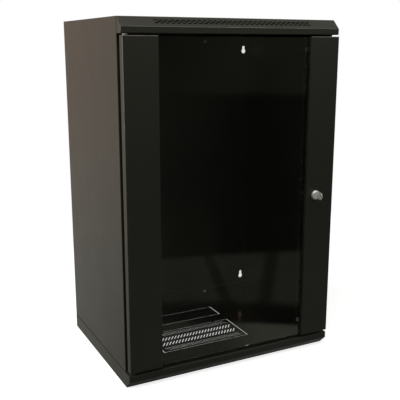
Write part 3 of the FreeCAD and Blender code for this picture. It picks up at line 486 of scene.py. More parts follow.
@dataclass(frozen=True)
class PowderCoat(Finish):
    """Black powder coat on sheet steel: pebbled, with lightened edges that are part wear and part
    painted highlight, a painted highlight on the level folds that look up, painted shade in narrow gaps,
    dark seam lines, and dust on top.
    """

    warm_colour: Colour
    edge_colour: Colour
    dust_and_highlight_colour: Colour
    shade_and_seam_colour: Colour
    sheen_tint: Colour
    grain: float
    grain_depth: float
    grain_strength: float
    speckle: float
    tone_size: float
    wiped_size: float
    wiped_gloss: float
    edge_reach: float
    edge_amount: float
    fold_amount: float
    dust: float
    dust_dulling: float
    gap_shade_reach: float
    shade_and_seam_dulling: float
    skin: float
    skin_roughness: float

    def surface(self, graph: Graph, effects: Effects) -> dict[str, object]:
        """Works out what feeds the shader.

        Args:
            graph: the material's graph.
            effects: the shared effects.

        Returns:
            Values and sockets for the shader's inputs.
        """
        texture = graph.effect(effects.fine_texture, Size=self.grain)
        tone = graph.effect(effects.soft_patches, Size=self.tone_size)["Mask"]
        wiped = graph.effect(effects.soft_patches, Size=self.wiped_size)["Mask"]
        edge = graph.effect(effects.edge_wear, Reach=self.edge_reach)["Mask"]
        dust = graph.effect(effects.settled_dust, Amount=self.dust)["Mask"]
        # Painted highlight on the level folds that look up.
        folds = graph.effect(effects.painted_fold_highlight, Amount=self.fold_amount)["Mask"]
        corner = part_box("left_side_panel")[0]
        # Painted shade in narrow gaps, and a dark line along the seams.
        shade_and_seam_lines = graph.effect(
            effects.gap_shade_and_seam_lines, Reach=self.gap_shade_reach, Seam=corner.z, Joint=corner.y)["Mask"]
        base = graph.mix(tone, self.colour, self.warm_colour)
        lit = graph.mix(graph.math("MULTIPLY", texture["Speckle"], self.speckle), base, self.edge_colour)
        # Edges lightened towards the edge colour: part wear, part painted highlight.
        worn_and_highlit = graph.mix(graph.math("MULTIPLY", edge, self.edge_amount), lit, self.edge_colour)
        # Dust on the top faces, and the painted fold highlight in the same pale colour.
        dust_and_fold_highlight = graph.mix(graph.math("MAXIMUM", dust, folds), worn_and_highlit, self.dust_and_highlight_colour)
        gloss = Ramp(0.0, 1.0, self.roughness - self.wiped_gloss, self.roughness + self.wiped_gloss)
        roughness = graph.math(
            "ADD", graph.spread(wiped, gloss), graph.math("MULTIPLY", dust, self.dust_dulling),
            graph.math("MULTIPLY", shade_and_seam_lines, self.shade_and_seam_dulling))
        return {
            # The colour darkens to near black where shade is painted into narrow gaps and along the seam
            # lines.
            "Base Color": graph.mix(shade_and_seam_lines, dust_and_fold_highlight, self.shade_and_seam_colour),
            "Roughness": roughness,
            "Coat Weight": graph.spread(shade_and_seam_lines, Ramp(0.0, 1.0, self.skin, 0.0)),
            "Coat Roughness": self.skin_roughness,
            "Specular Tint": self.sheen_tint,
            "Normal": graph.bump(self.grain_strength, self.grain_depth, texture["Height"]),
        }


@dataclass(frozen=True)
class PlatedMetal(Finish):
    """Bare or plated metal with fine lines and cloudy gloss."""

    dull_colour: Colour
    line_size: float
    line_depth: float
    metal: float
    line_strength: float = 0.12
    streak_gloss: float = 0.08
    cloud_size: float = 0.006
    cloud_amount: float = 0.6
    edge_reach: float = 0.0006
    edge_amount: float = 0.5

    def surface(self, graph: Graph, effects: Effects) -> dict[str, object]:
        """Works out what feeds the shader.

        Args:
            graph: the material's graph.
            effects: the shared effects.

        Returns:
            Values and sockets for the shader's inputs.
        """
        lines = graph.effect(effects.drawn_lines, Size=self.line_size)
        cloud = graph.effect(effects.soft_patches, Size=self.cloud_size)["Mask"]
        edge = graph.effect(effects.edge_wear, Reach=self.edge_reach)["Mask"]
        tone = graph.mix(graph.math("MULTIPLY", cloud, self.cloud_amount), self.colour, self.dull_colour)
        smooth = self.roughness * (1.0 - self.streak_gloss)
        rough = self.roughness * (1.0 + self.streak_gloss)
        return {
            "Base Color": graph.mix(graph.math("MULTIPLY", edge, self.edge_amount), tone, self.colour),
            "Metallic": self.metal,
            "Roughness": graph.spread(lines["Streak"], Ramp(0.0, 1.0, smooth, rough)),
            "Normal": graph.bump(self.line_strength, self.line_depth, lines["Height"]),
        }


@dataclass(frozen=True)
class TintedGlass(Finish):
    """Grey toughened glass with a faint film of wiping marks."""

    film_colour: Colour
    sheen_tint: Colour
    refraction: float
    film_size: float = 0.12
    wipe_size: float = 0.05
    film_amount: float = 0.35

    def surface(self, graph: Graph, effects: Effects) -> dict[str, object]:
        """Works out what feeds the shader.

        Args:
            graph: the material's graph.
            effects: the shared effects.

        Returns:
            Values and sockets for the shader's inputs.
        """
        film = graph.effect(effects.soft_patches, Size=self.film_size)["Mask"]
        wiped = graph.effect(effects.drawn_lines, Size=self.wipe_size)["Streak"]
        amount = graph.math("MULTIPLY", film, wiped, self.film_amount)
        return {
            "Base Color": graph.mix(amount, self.colour, self.film_colour),
            "Roughness": graph.math("MULTIPLY", amount, self.roughness),
            "Transmission Weight": 1.0,
            "IOR": self.refraction,
            "Specular Tint": self.sheen_tint,
        }


@dataclass(frozen=True)
class MouldedSkin(Finish):
    """Moulded rubber or nylon with a fine matt skin."""

    worn_colour: Colour
    grain: float
    grain_depth: float
    grain_strength: float = 0.3
    speckle_gloss: float = 0.06
    tone_size: float = 0.03
    edge_reach: float = 0.0008
    worn_amount: float = 0.4

    def surface(self, graph: Graph, effects: Effects) -> dict[str, object]:
        """Works out what feeds the shader.

        Args:
            graph: the material's graph.
            effects: the shared effects.

        Returns:
            Values and sockets for the shader's inputs.
        """
        texture = graph.effect(effects.fine_texture, Size=self.grain)
        tone = graph.effect(effects.soft_patches, Size=self.tone_size)["Mask"]
        edge = graph.effect(effects.edge_wear, Reach=self.edge_reach)["Mask"]
        rubbed = graph.math("MULTIPLY", graph.math("MAXIMUM", tone, edge), self.worn_amount)
        gloss = Ramp(0.0, 1.0, self.roughness - self.speckle_gloss, self.roughness + self.speckle_gloss)
        return {
            "Base Color": graph.mix(rubbed, self.colour, self.worn_colour),
            "Roughness": graph.spread(texture["Speckle"], gloss),
            "Normal": graph.bump(self.grain_strength, self.grain_depth, texture["Height"]),
        }


FINISHES = (
    PowderCoat(
        "black_powder_coat", Slot.PAINT, colour=(0.0095, 0.0097, 0.0078), roughness=0.45,
        warm_colour=(0.0108, 0.0100, 0.0082), edge_colour=(0.100, 0.098, 0.088),
        # The pale dust colour also paints the fold highlight; the near-black colour after it paints
        # shade in narrow gaps and the seam lines.
        dust_and_highlight_colour=(0.20, 0.19, 0.17), shade_and_seam_colour=(0.003, 0.003, 0.0025),
        sheen_tint=(1.0, 0.97, 0.82), grain=0.0011, grain_depth=0.00018, grain_strength=0.8,
        speckle=0.05, tone_size=0.22, wiped_size=0.07, wiped_gloss=0.015, edge_reach=0.0010,
        # The fold amount sets the painted fold highlight; the reach and dulling after it set the painted
        # shade in narrow gaps and the seam lines.
        edge_amount=0.18, fold_amount=0.7, dust=0.10, dust_dulling=0.3, gap_shade_reach=0.006,
        shade_and_seam_dulling=0.5, skin=0.25, skin_roughness=0.13),
    PlatedMetal(
        "zinc_plate", Slot.ZINC, colour=(0.84, 0.85, 0.84), roughness=0.44,
        dull_colour=(0.66, 0.67, 0.66), line_size=0.0009, line_depth=0.00002, metal=0.75),
    PlatedMetal(
        "blackened_steel", Slot.DARK_STEEL, colour=(0.09, 0.09, 0.09), roughness=0.36,
        dull_colour=(0.05, 0.048, 0.046), line_size=0.0009, line_depth=0.00002, metal=1.0),
    PlatedMetal(
        "nickel_plate", Slot.NICKEL, colour=(0.87, 0.89, 0.85), roughness=0.44,
        dull_colour=(0.70, 0.72, 0.68), line_size=0.0007, line_depth=0.00001, metal=0.75),
    PlatedMetal(
        "satin_chrome", Slot.CHROME, colour=(0.92, 0.95, 0.92), roughness=0.38,
        dull_colour=(0.80, 0.83, 0.80), line_size=0.0012, line_depth=0.000005, metal=0.80),
    TintedGlass(
        "grey_glass", Slot.GLASS, colour=(0.78, 0.80, 0.77), roughness=0.03,
        film_colour=(0.82, 0.83, 0.81), sheen_tint=(1.0, 1.0, 0.80), refraction=1.5),
    MouldedSkin(
        "black_rubber", Slot.RUBBER, colour=(0.018, 0.018, 0.017), roughness=0.72,
        worn_colour=(0.045, 0.044, 0.042), grain=0.0006, grain_depth=0.00005),
    # Dark grey, far below the colour of white nylon, so the bush shows dim.
    MouldedSkin(
        "nylon", Slot.NYLON, colour=(0.19, 0.19, 0.18), roughness=0.46,
        worn_colour=(0.16, 0.155, 0.148), grain=0.0005, grain_depth=0.00002),
)


class Palette:
    """The finishes made into materials, by the record's slots."""

    def __init__(self) -> None:
        """Builds each finish once."""
        effects = Effects()
        self.materials = {finish.slot: finish.material(effects) for finish in FINISHES}
        rows = frame["record"]["subparts"]
        self.slots = {row["node"]: Slot(row["material_slot"]) for row in rows}

    def dress_node(self, name: str) -> None:
        """Gives a CAD node the finish of its slot.

        Args:
            name: the node's name.
        """
        for place in frame["nodes"][name].material_slots:
            place.material = self.materials[self.slots[name]]
        LOG.info("dressed %s with %s", name, self.slots[name].value)

    def dress_piece(self, piece: Object, slot: Slot, body: Body, *stands_for: str) -> None:
        """Gives a new piece its finish, its body and the CAD nodes that it stands for.

        Args:
            piece: the new piece.
            slot: the record's slot that its finish belongs to.
            body: the body that it moves with.
            stands_for: names of the CAD nodes that it replaces.
        """
        piece.data.materials.append(self.materials[slot])
        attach(piece, body.value)
        if stands_for:
            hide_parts(*stands_for)
        LOG.info("made %s with %s", piece.name, slot.value)


@dataclass(frozen=True)
class Solid:
    """The box of one solid of a CAD node."""

    low: Vector
    high: Vector

    @property
    def middle(self) -> Vector:
        """The middle of the box."""
        return (self.low + self.high) / 2

    @property
    def size(self) -> Vector:
        """The box's lengths along X, Y and Z."""
        return self.high - self.low

    @property
    def front(self) -> Vector:
        """The middle of the side that faces the viewer."""
        return Vector((self.middle.x, self.low.y, self.middle.z))


def solids_of(name: str) -> list[Solid]:
    """Finds the separate solids of a CAD node, by the faces that share corners.

    Args:
        name: the node's name.

    Returns:
        The boxes of its solids, in order of X and then of Z.
    """
    mesh = frame["nodes"][name].data
    keys = [tuple(round(value / WELD) for value in vertex.co) for vertex in mesh.vertices]
    beside = {key: {key} for key in keys}
    for polygon in mesh.polygons:
        corners = {keys[index] for index in polygon.vertices}
        for corner in corners:
            beside[corner] |= corners
    boxes = []
    while beside:
        found = set()
        waiting = {next(iter(beside))}
        while waiting:
            key = waiting.pop()
            found.add(key)
            waiting |= beside.pop(key) - found
        axes = list(zip(*(vertex.co for key, vertex in zip(keys, mesh.vertices) if key in found)))
        boxes.append(Solid(Vector([min(axis) for axis in axes]), Vector([max(axis) for axis in axes])))
    return sorted(
        boxes, key=lambda box: (round(box.middle.x, SORT_DIGITS), round(box.middle.z, SORT_DIGITS)))


def solid_of(name: str) -> Solid:
    """The box of a whole CAD node, by its name."""
    return Solid(*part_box(name))


def put_in_scene(name: str, data: ID) -> Object:
    """Puts a mesh, a lamp or a camera in the scene.

    Args:
        name: the new object's name.
        data: the mesh, lamp or camera.

    Returns:
        The object.
    """
    made = bpy.data.objects.new(name, data)
    bpy.context.scene.collection.objects.link(made)
    return made


class Skin:
    """One mesh made of closed surfaces stretched over rings of points."""

    def __init__(self) -> None:
        """Starts an empty mesh."""
        self.mesh = bmesh.new()

    def wrap(self, rings: list[Ring], ends: Ends) -> None:
        """Adds a closed surface.

        Args:
            rings: rings with equal numbers of points.
            ends: whether the first and the last ring are capped or joined.
        """
        loops = [[self.mesh.verts.new(point) for point in ring] for ring in rings]
        pairs = list(zip(loops, loops[1:]))
        if ends is Ends.JOINED:
            pairs.append((loops[-1], loops[0]))
        for near, far in pairs:
            for i in range(len(near)):
                following = (i + 1) % len(near)
                self.mesh.faces.new((near[i], near[following], far[following], far[i]))
        if ends is Ends.CAPPED:
            self.mesh.faces.new(loops[0])
            self.mesh.faces.new(loops[-1])

    def piece(self, name: str) -> Object:
        """Makes the mesh an object of the scene.

        Args:
            name: the piece's name.

        Returns:
            The object.
        """
        bmesh.ops.recalc_face_normals(self.mesh, faces=self.mesh.faces)
        data = bpy.data.meshes.new(name)
        self.mesh.to_mesh(data)
        self.mesh.free()
        data.shade_smooth()
        data.set_sharp_from_angle(angle=SHARP_ANGLE)
        return put_in_scene(name, data)


@dataclass(frozen=True)
class Axis:
    """A line that round pieces are turned about, from their seat outwards."""

    origin: Vector
    along: Vector
    across: Vector

    def point(self, radius: float, angle: float, reach: float) -> Vector:
        """The point at a distance from the line, a turn about it and a place along it."""
        sideways = self.across * math.cos(angle) + self.along.cross(self.across) * math.sin(angle)
        return self.origin + self.along * reach + sideways * radius

    def ring(self, radius: Radius, reach: float, angles: list[float]) -> Ring:
        """The points of a ring, with one radius or a function of the angle."""
        radii = [radius(angle) if callable(radius) else radius for angle in angles]
        return [self.point(out, angle, reach) for out, angle in zip(radii, angles)]

    def rings(self, profile: Profile, angles: list[float]) -> list[Ring]:
        """The rings of a profile, whose rows are a radius and a place along the line."""
        return [self.ring(radius, reach, angles) for radius, reach in profile]


def even_angles(count: int) -> list[float]:
    """The angles of evenly spread points, by their number."""
    return [FULL_TURN * i / count for i in range(count)]


def quarter_angles(steps: int) -> list[float]:
    """The angles from zero to a quarter turn, by the number of steps between them."""
    return [QUARTER_TURN * i / steps for i in range(steps + 1)]


@dataclass(frozen=True)
class Thread:
    """A screw thread, round or with two flats cut along it."""

    crest: float
    pitch: float
    flats: float = math.inf
    groove_share: float = 0.55
    rings_in_a_pitch: int = 4

    def outline(self, angle: float, share: float = 1.0) -> float:
        """The radius of the crest at an angle, or a share of it."""
        return share * min(self.crest, self.flats / 2 / max(abs(math.cos(angle)), NEARLY_ZERO))

    def radius(self, angle: float, reach: float) -> float:
        """The thread's radius at an angle and a place along the axis."""
        phase = (reach / self.pitch - angle / FULL_TURN) % 1.0
        return min(self.outline(angle), self.crest - self.groove_share * self.pitch * abs(2 * phase - 1))

    def rings(self, axis: Axis, start: float, end: float, angles: list[float]) -> list[Ring]:
        """The rings of a threaded length.

        Args:
            axis: the thread's axis.
            start: place along the axis where the thread starts.
            end: place where it ends.
            angles: the turns of the rings' points.

        Returns:
            The rings, from start to end.
        """
        steps = max(2, round(abs(end - start) / (self.pitch / self.rings_in_a_pitch)))
        reaches = [start + (end - start) * i / steps for i in range(steps + 1)]
        return [axis.ring(partial(self.radius, reach=reach), reach, angles) for reach in reaches]


@dataclass(frozen=True)
class CrossScrew:
    """A screw or bolt with a domed head, a cross recess and a threaded shank.

    The shares of the head's edge and of the recess are rows: a share of the radius or of the recess's
    outline, then a share of the head's height.
    """

    shank_radius: float
    shank_length: float
    head_radius: float
    head_height: float
    pitch: float
    tip_share: float = 0.68
    lead_share: float = 0.35
    edge_shares: Shares = ((0.96, 0.0), (1.0, 0.08))
    top_share: float = 0.60
    skirt_share: float = 0.38
    dome_steps: int = 6
    arm_length_share: float = 0.50
    arm_width_share: float = 0.13
    recess_shares: Shares = ((1.0, 0.97), (0.82, 0.45), (0.16, 0.22))

    @property
    def arm_length(self) -> float:
        """Half the length of the recess."""
        return self.arm_length_share * self.head_radius

    @property
    def arm_width(self) -> float:
        """Half the width of the recess's arms."""
        return self.arm_width_share * self.head_radius

    @property
    def corner(self) -> float:
        """The angle from the middle of an arm to its corner."""
        return math.atan2(self.arm_width, self.arm_length)

    def angles(self) -> list[float]:
        """The turns of the rings' points, with one at each corner of the recess.

        Returns:
            The angles.
        """
        eighth = QUARTER_TURN / 2
        between = (self.corner + eighth) / 2
        turns = [0.0, self.corner, between, eighth, 2 * eighth - between, 2 * eighth - self.corner]
        return [quarter * QUARTER_TURN + angle for quarter in range(4) for angle in turns]

    def recess(self, angle: float, share: float) -> float:
        """The radius of the recess at an angle.

        Args:
            angle: the turn about the screw.
            share: share of the recess's outline.

        Returns:
            The radius.
        """
        folded = angle % QUARTER_TURN
        folded = min(folded, QUARTER_TURN - folded)
        if folded <= self.corner + NEARLY_ZERO:
            return share * (self.arm_length / math.cos(folded))
        return share * (self.arm_width / math.sin(folded))

    def rings(self, axis: Axis) -> list[Ring]:
        """The screw's rings, from the shank's tip to the bottom of the recess.

        Args:
            axis: the screw's axis, from the seat of its head outwards.

        Returns:
            The rings.
        """
        angles = self.angles()
        radius = self.head_radius
        height = self.head_height
        top = self.top_share * radius
        skirt = self.skirt_share * height
        head: Profile = [(share * radius, rise * height) for share, rise in self.edge_shares]
        head += [
            (top + (radius - top) * math.cos(turn), skirt + (height - skirt) * math.sin(turn))
            for turn in quarter_angles(self.dome_steps)]
        for share, rise in self.recess_shares:
            head.append((partial(self.recess, share=share), rise * height))
        lead = self.lead_share * self.shank_radius
        thread = Thread(self.shank_radius, self.pitch)
        return [
            axis.ring(self.tip_share * self.shank_radius, -self.shank_length, angles),
            *thread.rings(axis, lead - self.shank_length, 0.0, angles),
            *axis.rings(head, angles),
        ]


def cross_screws(name: str, outwards: Vector, head_height: float, radius: float, pitch: float) -> Skin:
    """Makes a screw in the place of each solid of a CAD node.

    Args:
        name: the node's name.
        outwards: the way that the heads face, along Y.
        head_height: height of the heads.
        radius: radius of the shanks.
        pitch: pitch of their threads.

    Returns:
        The mesh of all the screws.
    """
    skin = Skin()
    for solid in solids_of(name):
        top = solid.low.y if outwards.y < 0.0 else solid.high.y
        seat = Vector((solid.middle.x, top - outwards.y * head_height, solid.middle.z))
        screw = CrossScrew(radius, solid.size.y - head_height, solid.size.x / 2, head_height, pitch)
        skin.wrap(screw.rings(Axis(seat, outwards, UPWARDS)), Ends.CAPPED)
    return skin


@dataclass(frozen=True)
class HexNut:
    """A hexagon nut with turned chamfers and a countersunk bore."""

    flats: float
    height: float
    bore: float
    points: int = 36
    face_share: float = 0.96
    sink_share: float = 0.12
    chamfer_slope: float = math.tan(math.radians(30))

    @property
    def face(self) -> float:
        """The radius of the turned face."""
        return self.face_share * self.flats / 2

    def outline(self, angle: float) -> float:
        """The radius of the hexagon at an angle."""
        return self.flats / 2 / math.cos(angle % SIXTH_TURN - SIXTH_TURN / 2)

    def drop(self, angle: float) -> float:
        """How far the chamfer has dropped from the face where it meets the flats, at an angle."""
        return (self.outline(angle) - self.face) * self.chamfer_slope

    def rings(self, axis: Axis) -> list[Ring]:
        """The nut's rings, round its section.

        Args:
            axis: the nut's axis, from its seat outwards, with across through one of its corners.

        Returns:
            The rings.
        """
        angles = even_angles(self.points)
        sink = self.sink_share * self.bore
        mouth = self.bore + sink
        top = self.height
        return [
            *axis.rings([(self.bore, sink), (mouth, 0.0), (self.face, 0.0)], angles),
            [axis.point(self.outline(angle), angle, self.drop(angle)) for angle in angles],
            [axis.point(self.outline(angle), angle, top - self.drop(angle)) for angle in angles],
            *axis.rings([(self.face, top), (mouth, top), (self.bore, top - sink)], angles),
        ]


def hex_nuts(name: str, flats: float, thread_radius: float) -> Skin:
    """Makes a nut in the place of each solid of a CAD node, with its seat towards the viewer.

    Args:
        name: the node's name.
        flats: distance between opposite flats.
        thread_radius: radius of the thread in the nuts.

    Returns:
        The mesh of all the nuts.
    """
    skin = Skin()
    for solid in solids_of(name):
        nut = HexNut(flats, solid.size.y, thread_radius + NUT_PLAY)
        skin.wrap(nut.rings(Axis(solid.front, TOWARDS_WALL, UPWARDS)), Ends.JOINED)
    return skin


@dataclass
class SubAssembly:
    """CAD nodes that keep their shape, and new pieces that stand for others."""

    palette: Palette

    kept: ClassVar[tuple[str, ...]] = ()

    def dress(self) -> None:
        """Finishes the nodes that keep their shape."""
        for name in self.kept:
            self.palette.dress_node(name)

    def build(self) -> None:
        """Makes and finishes the new pieces: each sub-assembly has its own."""
        raise NotImplementedError


@dataclass
class Shell(SubAssembly):
    """The cabinet's folded sheets, with the screws that hold its back panel."""

    screw_head: float = 2.4 * MM
    screw_radius: float = 2.5 * MM
    screw_pitch: float = 0.8 * MM

    kept: ClassVar[tuple[str, ...]] = (
        "top_hood", "roof_panel", "roof_cable_knockout", "base_tray", "floor_vent_knockout",
        "floor_cable_knockout", "left_side_panel", "right_side_panel", "back_panel")

    def build(self) -> None:
        """Makes the back panel's screws, heads inside the cabinet."""
        screws = cross_screws(
            "back_panel_screws", TOWARDS_VIEWER, self.screw_head, self.screw_radius, self.screw_pitch)
        piece = screws.piece("back_cross_screws")
        self.palette.dress_piece(piece, Slot.ZINC, Body.CABINET, "back_panel_screws")


@dataclass
class RackRails(SubAssembly):
    """The rack rails, their brackets, and the bolts and nuts that join them."""

    bolt_head: float = 4.0 * MM
    bolt_radius: float = 3.0 * MM
    bolt_pitch: float = 1.0 * MM
    nut_flats: float = 10.0 * MM

    kept: ClassVar[tuple[str, ...]] = (
        "left_rack_rail", "right_rack_rail", "lower_left_rail_bracket", "lower_right_rail_bracket",
        "upper_left_rail_bracket", "upper_right_rail_bracket")

    def build(self) -> None:
        """Makes the bolts and the nuts."""
        bolts = cross_screws(
            "rail_bolts", TOWARDS_VIEWER, self.bolt_head, self.bolt_radius, self.bolt_pitch)
        self.palette.dress_piece(bolts.piece("rail_cross_bolts"), Slot.ZINC, Body.CABINET, "rail_bolts")
        nuts = hex_nuts("rail_nuts", self.nut_flats, self.bolt_radius)
        self.palette.dress_piece(nuts.piece("rail_hex_nuts"), Slot.ZINC, Body.CABINET, "rail_nuts")


@dataclass
class GlazedDoor(SubAssembly):
    """The door's stiles, pane, seals and clips."""

    stud_radius: float = 2.0 * MM
    stud_pitch: float = 0.7 * MM
    stud_length: float = 8.0 * MM
    stud_points: int = 20
    stud_start_share: float = 0.8
    tip_share: float = 0.8
    tip_chamfer: float = 0.3 * MM
    thread_proud: float = 0.08 * MM
    clip_sheet: float = 1.5 * MM
    nut_flats: float = 7.0 * MM

    kept: ClassVar[tuple[str, ...]] = (
        "hinge_stile", "lock_stile", "door_glass", "left_glass_seal", "right_glass_seal", "glass_clips")

    def build(self) -> None:
        """Makes the clips' nuts and the threads of the studs that stand out of them."""
        nuts = hex_nuts("glass_clip_nuts", self.nut_flats, self.stud_radius)
        thread = Thread(self.stud_radius + self.thread_proud, self.stud_pitch)
        tip = self.stud_length - self.clip_sheet
        angles = even_angles(self.stud_points)
        threads = Skin()
        for solid in solids_of("glass_clip_nuts"):
            axis = Axis(solid.front, TOWARDS_WALL, UPWARDS)
            rings = thread.rings(axis, self.stud_start_share * solid.size.y, tip, angles)
            rings.append(axis.ring(self.tip_share * self.stud_radius, tip + self.tip_chamfer, angles))
            threads.wrap(rings, Ends.CAPPED)
        self.palette.dress_piece(nuts.piece("clip_hex_nuts"), Slot.ZINC, Body.DOOR, "glass_clip_nuts")
        self.palette.dress_piece(threads.piece("clip_stud_threads"), Slot.ZINC, Body.DOOR)


@dataclass
class DoorHinge(SubAssembly):
    """The hinge's pins, bushes and bracket, with the spring that lifts the upper pin."""

    wire_radius: float = 0.5 * MM
    wire_points: int = 12
    spring_turns: float = 6.0
    points_in_a_turn: int = 28
    end_closeness: float = 0.75
    pin_travel: float = 10.5 * MM

    kept: ClassVar[tuple[str, ...]] = (
        "upper_hinge_bush", "lower_hinge_pin", "hinge_pin_bracket", "lower_hinge_bush",
        "upper_hinge_pin")

    def rise(self, share: float) -> float:
        """The share of the spring's height at a share of its wire, with the end turns lying close."""
        return share - self.end_closeness * math.sin(FULL_TURN * share) / FULL_TURN

    def build(self) -> None:
        """Makes the spring of round wire, which moves with the pin."""
        solid = solid_of("hinge_spring")
        wire = self.wire_radius
        coil = solid.size.x / 2 - wire
        foot = Vector((solid.middle.x, solid.middle.y, solid.low.z + wire))
        axis = Axis(foot, UPWARDS, RIGHTWARDS)
        height = solid.size.z - 2 * wire
        steps = int(self.spring_turns * self.points_in_a_turn)
        rings = []
        for i in range(steps + 1):
            turn = FULL_TURN * self.spring_turns * i / steps
            level = height * self.rise(i / steps)
            rings.append([
                axis.point(coil + wire * math.cos(angle), turn, level + wire * math.sin(angle))
                for angle in even_angles(self.wire_points)])
        skin = Skin()
        skin.wrap(rings, Ends.CAPPED)
        piece = skin.piece("round_wire_spring")
        self.palette.dress_piece(piece, Slot.ZINC, Body.HINGE_PIN, "hinge_spring")
        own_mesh(piece)


@dataclass
class CamLock(SubAssembly):
    """The lock: barrel, nut, plug, cam and key."""

    head_height: float = 7.0 * MM
    head_rounding: float = 3.5 * MM
    rounding_steps: int = 9
    back_chamfer: tuple[float, float] = (0.3 * MM, 0.4 * MM)
    body_radius: float = 8.0 * MM
    body_flats: float = 13.0 * MM
    body_pitch: float = 1.0 * MM
    body_points: int = 64
    thread_lead: float = 0.8 * MM
    thread_relief: float = 0.5 * MM
    end_share: float = 0.94
    root_share: float = 0.97
    seat_radius: float = 7.55 * MM
    seat_depth: float = 2.3 * MM
    seat_chamfer: float = 0.4 * MM
    bore_radius: float = 5.55 * MM
    nut_flats: float = 22.0 * MM
    screw_head: float = 3.0 * MM
    screw_radius: float = 2.0 * MM
    screw_pitch: float = 0.7 * MM
    key_bow: float = 10.5 * MM
    bow_steps: int = 36
    neck_share: float = 0.62
    key_hole: float = 3.0 * MM
    hole_points: int = 24
    key_neck: float = 4.0 * MM
    neck_overlap: float = 0.5 * MM
    key_rim: float = 0.3 * MM
    rim_angle: float = math.radians(60)
    blade_height: float = 8.0 * MM
    blade_root: float = 2.0 * MM
    blade_end: float = 1.0 * MM
    tip_chamfer: float = 1.5 * MM
    cuts: tuple[float, ...] = (0.0, 0.9 * MM, 0.4 * MM, 1.3 * MM, 0.7 * MM)
    cut_slope_end: float = 0.3
    cut_end: float = 0.6

    kept: ClassVar[tuple[str, ...]] = ("lock_plug", "lock_cam")

    def build(self) -> None:
        """Makes the barrel, its nut, the cam's screw and the key."""
        self.build_barrel()
        nut = hex_nuts("lock_nut", self.nut_flats, self.body_radius)
        self.palette.dress_piece(nut.piece("lock_hex_nut"), Slot.ZINC, Body.DOOR, "lock_nut")
        screw = cross_screws(
            "cam_screw", TOWARDS_WALL, self.screw_head, self.screw_radius, self.screw_pitch)
        self.palette.dress_piece(screw.piece("cam_cross_screw"), Slot.ZINC, Body.LOCK, "cam_screw")
        self.build_key()

    def build_barrel(self) -> None:
        """Makes the barrel: a rounded chromed head on a threaded body with two flats."""
        solid = solid_of("lock_barrel")
        axis = Axis(solid.front, TOWARDS_WALL, RIGHTWARDS)
        angles = even_angles(self.body_points)
        thread = Thread(self.body_radius, self.body_pitch, self.body_flats)
        length = solid.size.y
        head = solid.size.x / 2
        rim = self.head_rounding
        inset, drop = self.back_chamfer
        end = [(self.bore_radius, length), (partial(thread.outline, share=self.end_share), length)]
        front: Profile = [
            (partial(thread.outline, share=self.root_share), self.head_height),
            (head - inset, self.head_height),
            (head, self.head_height - drop)]
        for turn in quarter_angles(self.rounding_steps):
            front.append((head - rim + rim * math.cos(turn), rim - rim * math.sin(turn)))
        front += [
            (self.seat_radius + self.seat_chamfer, 0.0),
            (self.seat_radius, self.seat_chamfer),
            (self.seat_radius, self.seat_depth),
            (self.bore_radius, self.seat_depth)]
        start = length - self.thread_lead
        threaded = thread.rings(axis, start, self.head_height + self.thread_relief, angles)
        skin = Skin()
        skin.wrap([*axis.rings(end, angles), *threaded, *axis.rings(front, angles)], Ends.JOINED)
        self.palette.dress_piece(skin.piece("turned_lock_barrel"), Slot.CHROME, Body.DOOR, "lock_barrel")

    def build_key(self) -> None:
        """Makes the key: a stamped bow with a ring hole, a shoulder and a notched blade."""
        solid = solid_of("door_key")
        face = solid_of("lock_barrel").low.y
        bow = Vector((solid.low.x, face - self.key_neck - self.key_bow, solid.middle.z))
        radius = self.key_hole
        hole_place = 2 * radius - self.key_bow
        hole = [
            (hole_place + radius * math.cos(angle), radius * math.sin(angle))
            for angle in even_angles(self.hole_points)]
        skin = Skin()
        mesh = skin.mesh
        edges = []
        for outline in (self.key_outline(solid.high.y - bow.y), hole):
            ring = [mesh.verts.new(bow + Vector((0.0, along, up))) for along, up in outline]
            edges += [mesh.edges.new((ring[i - 1], ring[i])) for i in range(len(ring))]
        filled = bmesh.ops.triangle_fill(mesh, edges=edges, use_beauty=True)
        faces = [item for item in filled["geom"] if isinstance(item, bmesh.types.BMFace)]
        raised = bmesh.ops.extrude_face_region(mesh, geom=faces, use_keep_orig=True)
        points = [item for item in raised["geom"] if isinstance(item, bmesh.types.BMVert)]
        bmesh.ops.translate(mesh, verts=points, vec=RIGHTWARDS * solid.size.x)
        bmesh.ops.recalc_face_normals(mesh, faces=mesh.faces)
        rims = [edge for edge in mesh.edges if edge.calc_face_angle(0.0) > self.rim_angle]
        bmesh.ops.bevel(
            mesh, geom=rims, offset=self.key_rim, offset_type="OFFSET", segments=2, profile=0.5,
            affect="EDGES")
        self.palette.dress_piece(skin.piece("stamped_key"), Slot.NICKEL, Body.LOCK, "door_key")

    def key_outline(self, length: float) -> list[tuple[float, float]]:
        """The key's outline in the plane of its bow, from the bow's middle.

        Args:
            length: distance from the bow's middle to the blade's end.

        Returns:
            Points along the key and up from its middle line.
        """
        half = self.blade_height / 2
        tip = self.tip_chamfer
        neck = math.asin(self.neck_share)
        sweep = FULL_TURN - 2 * neck
        turns = [neck + sweep * i / self.bow_steps for i in range(self.bow_steps + 1)]
        points = [(self.key_bow * math.cos(turn), self.key_bow * math.sin(turn)) for turn in turns]
        shoulder = self.key_bow + self.key_neck - self.neck_overlap
        points += [(shoulder, points[-1][1]), (shoulder, -half)]
        step = (length - shoulder - self.blade_root - self.blade_end) / len(self.cuts)
        for i, depth in enumerate(self.cuts):
            start = shoulder + self.blade_root + i * step
            points += [
                (start, -half),
                (start + self.cut_slope_end * step, -half + depth),
                (start + self.cut_end * step, -half + depth)]
        points += [
            (length - tip, -half), (length, -half + tip), (length, half - tip), (length - tip, half),
            (shoulder, half), (shoulder, points[0][1])]
        return points


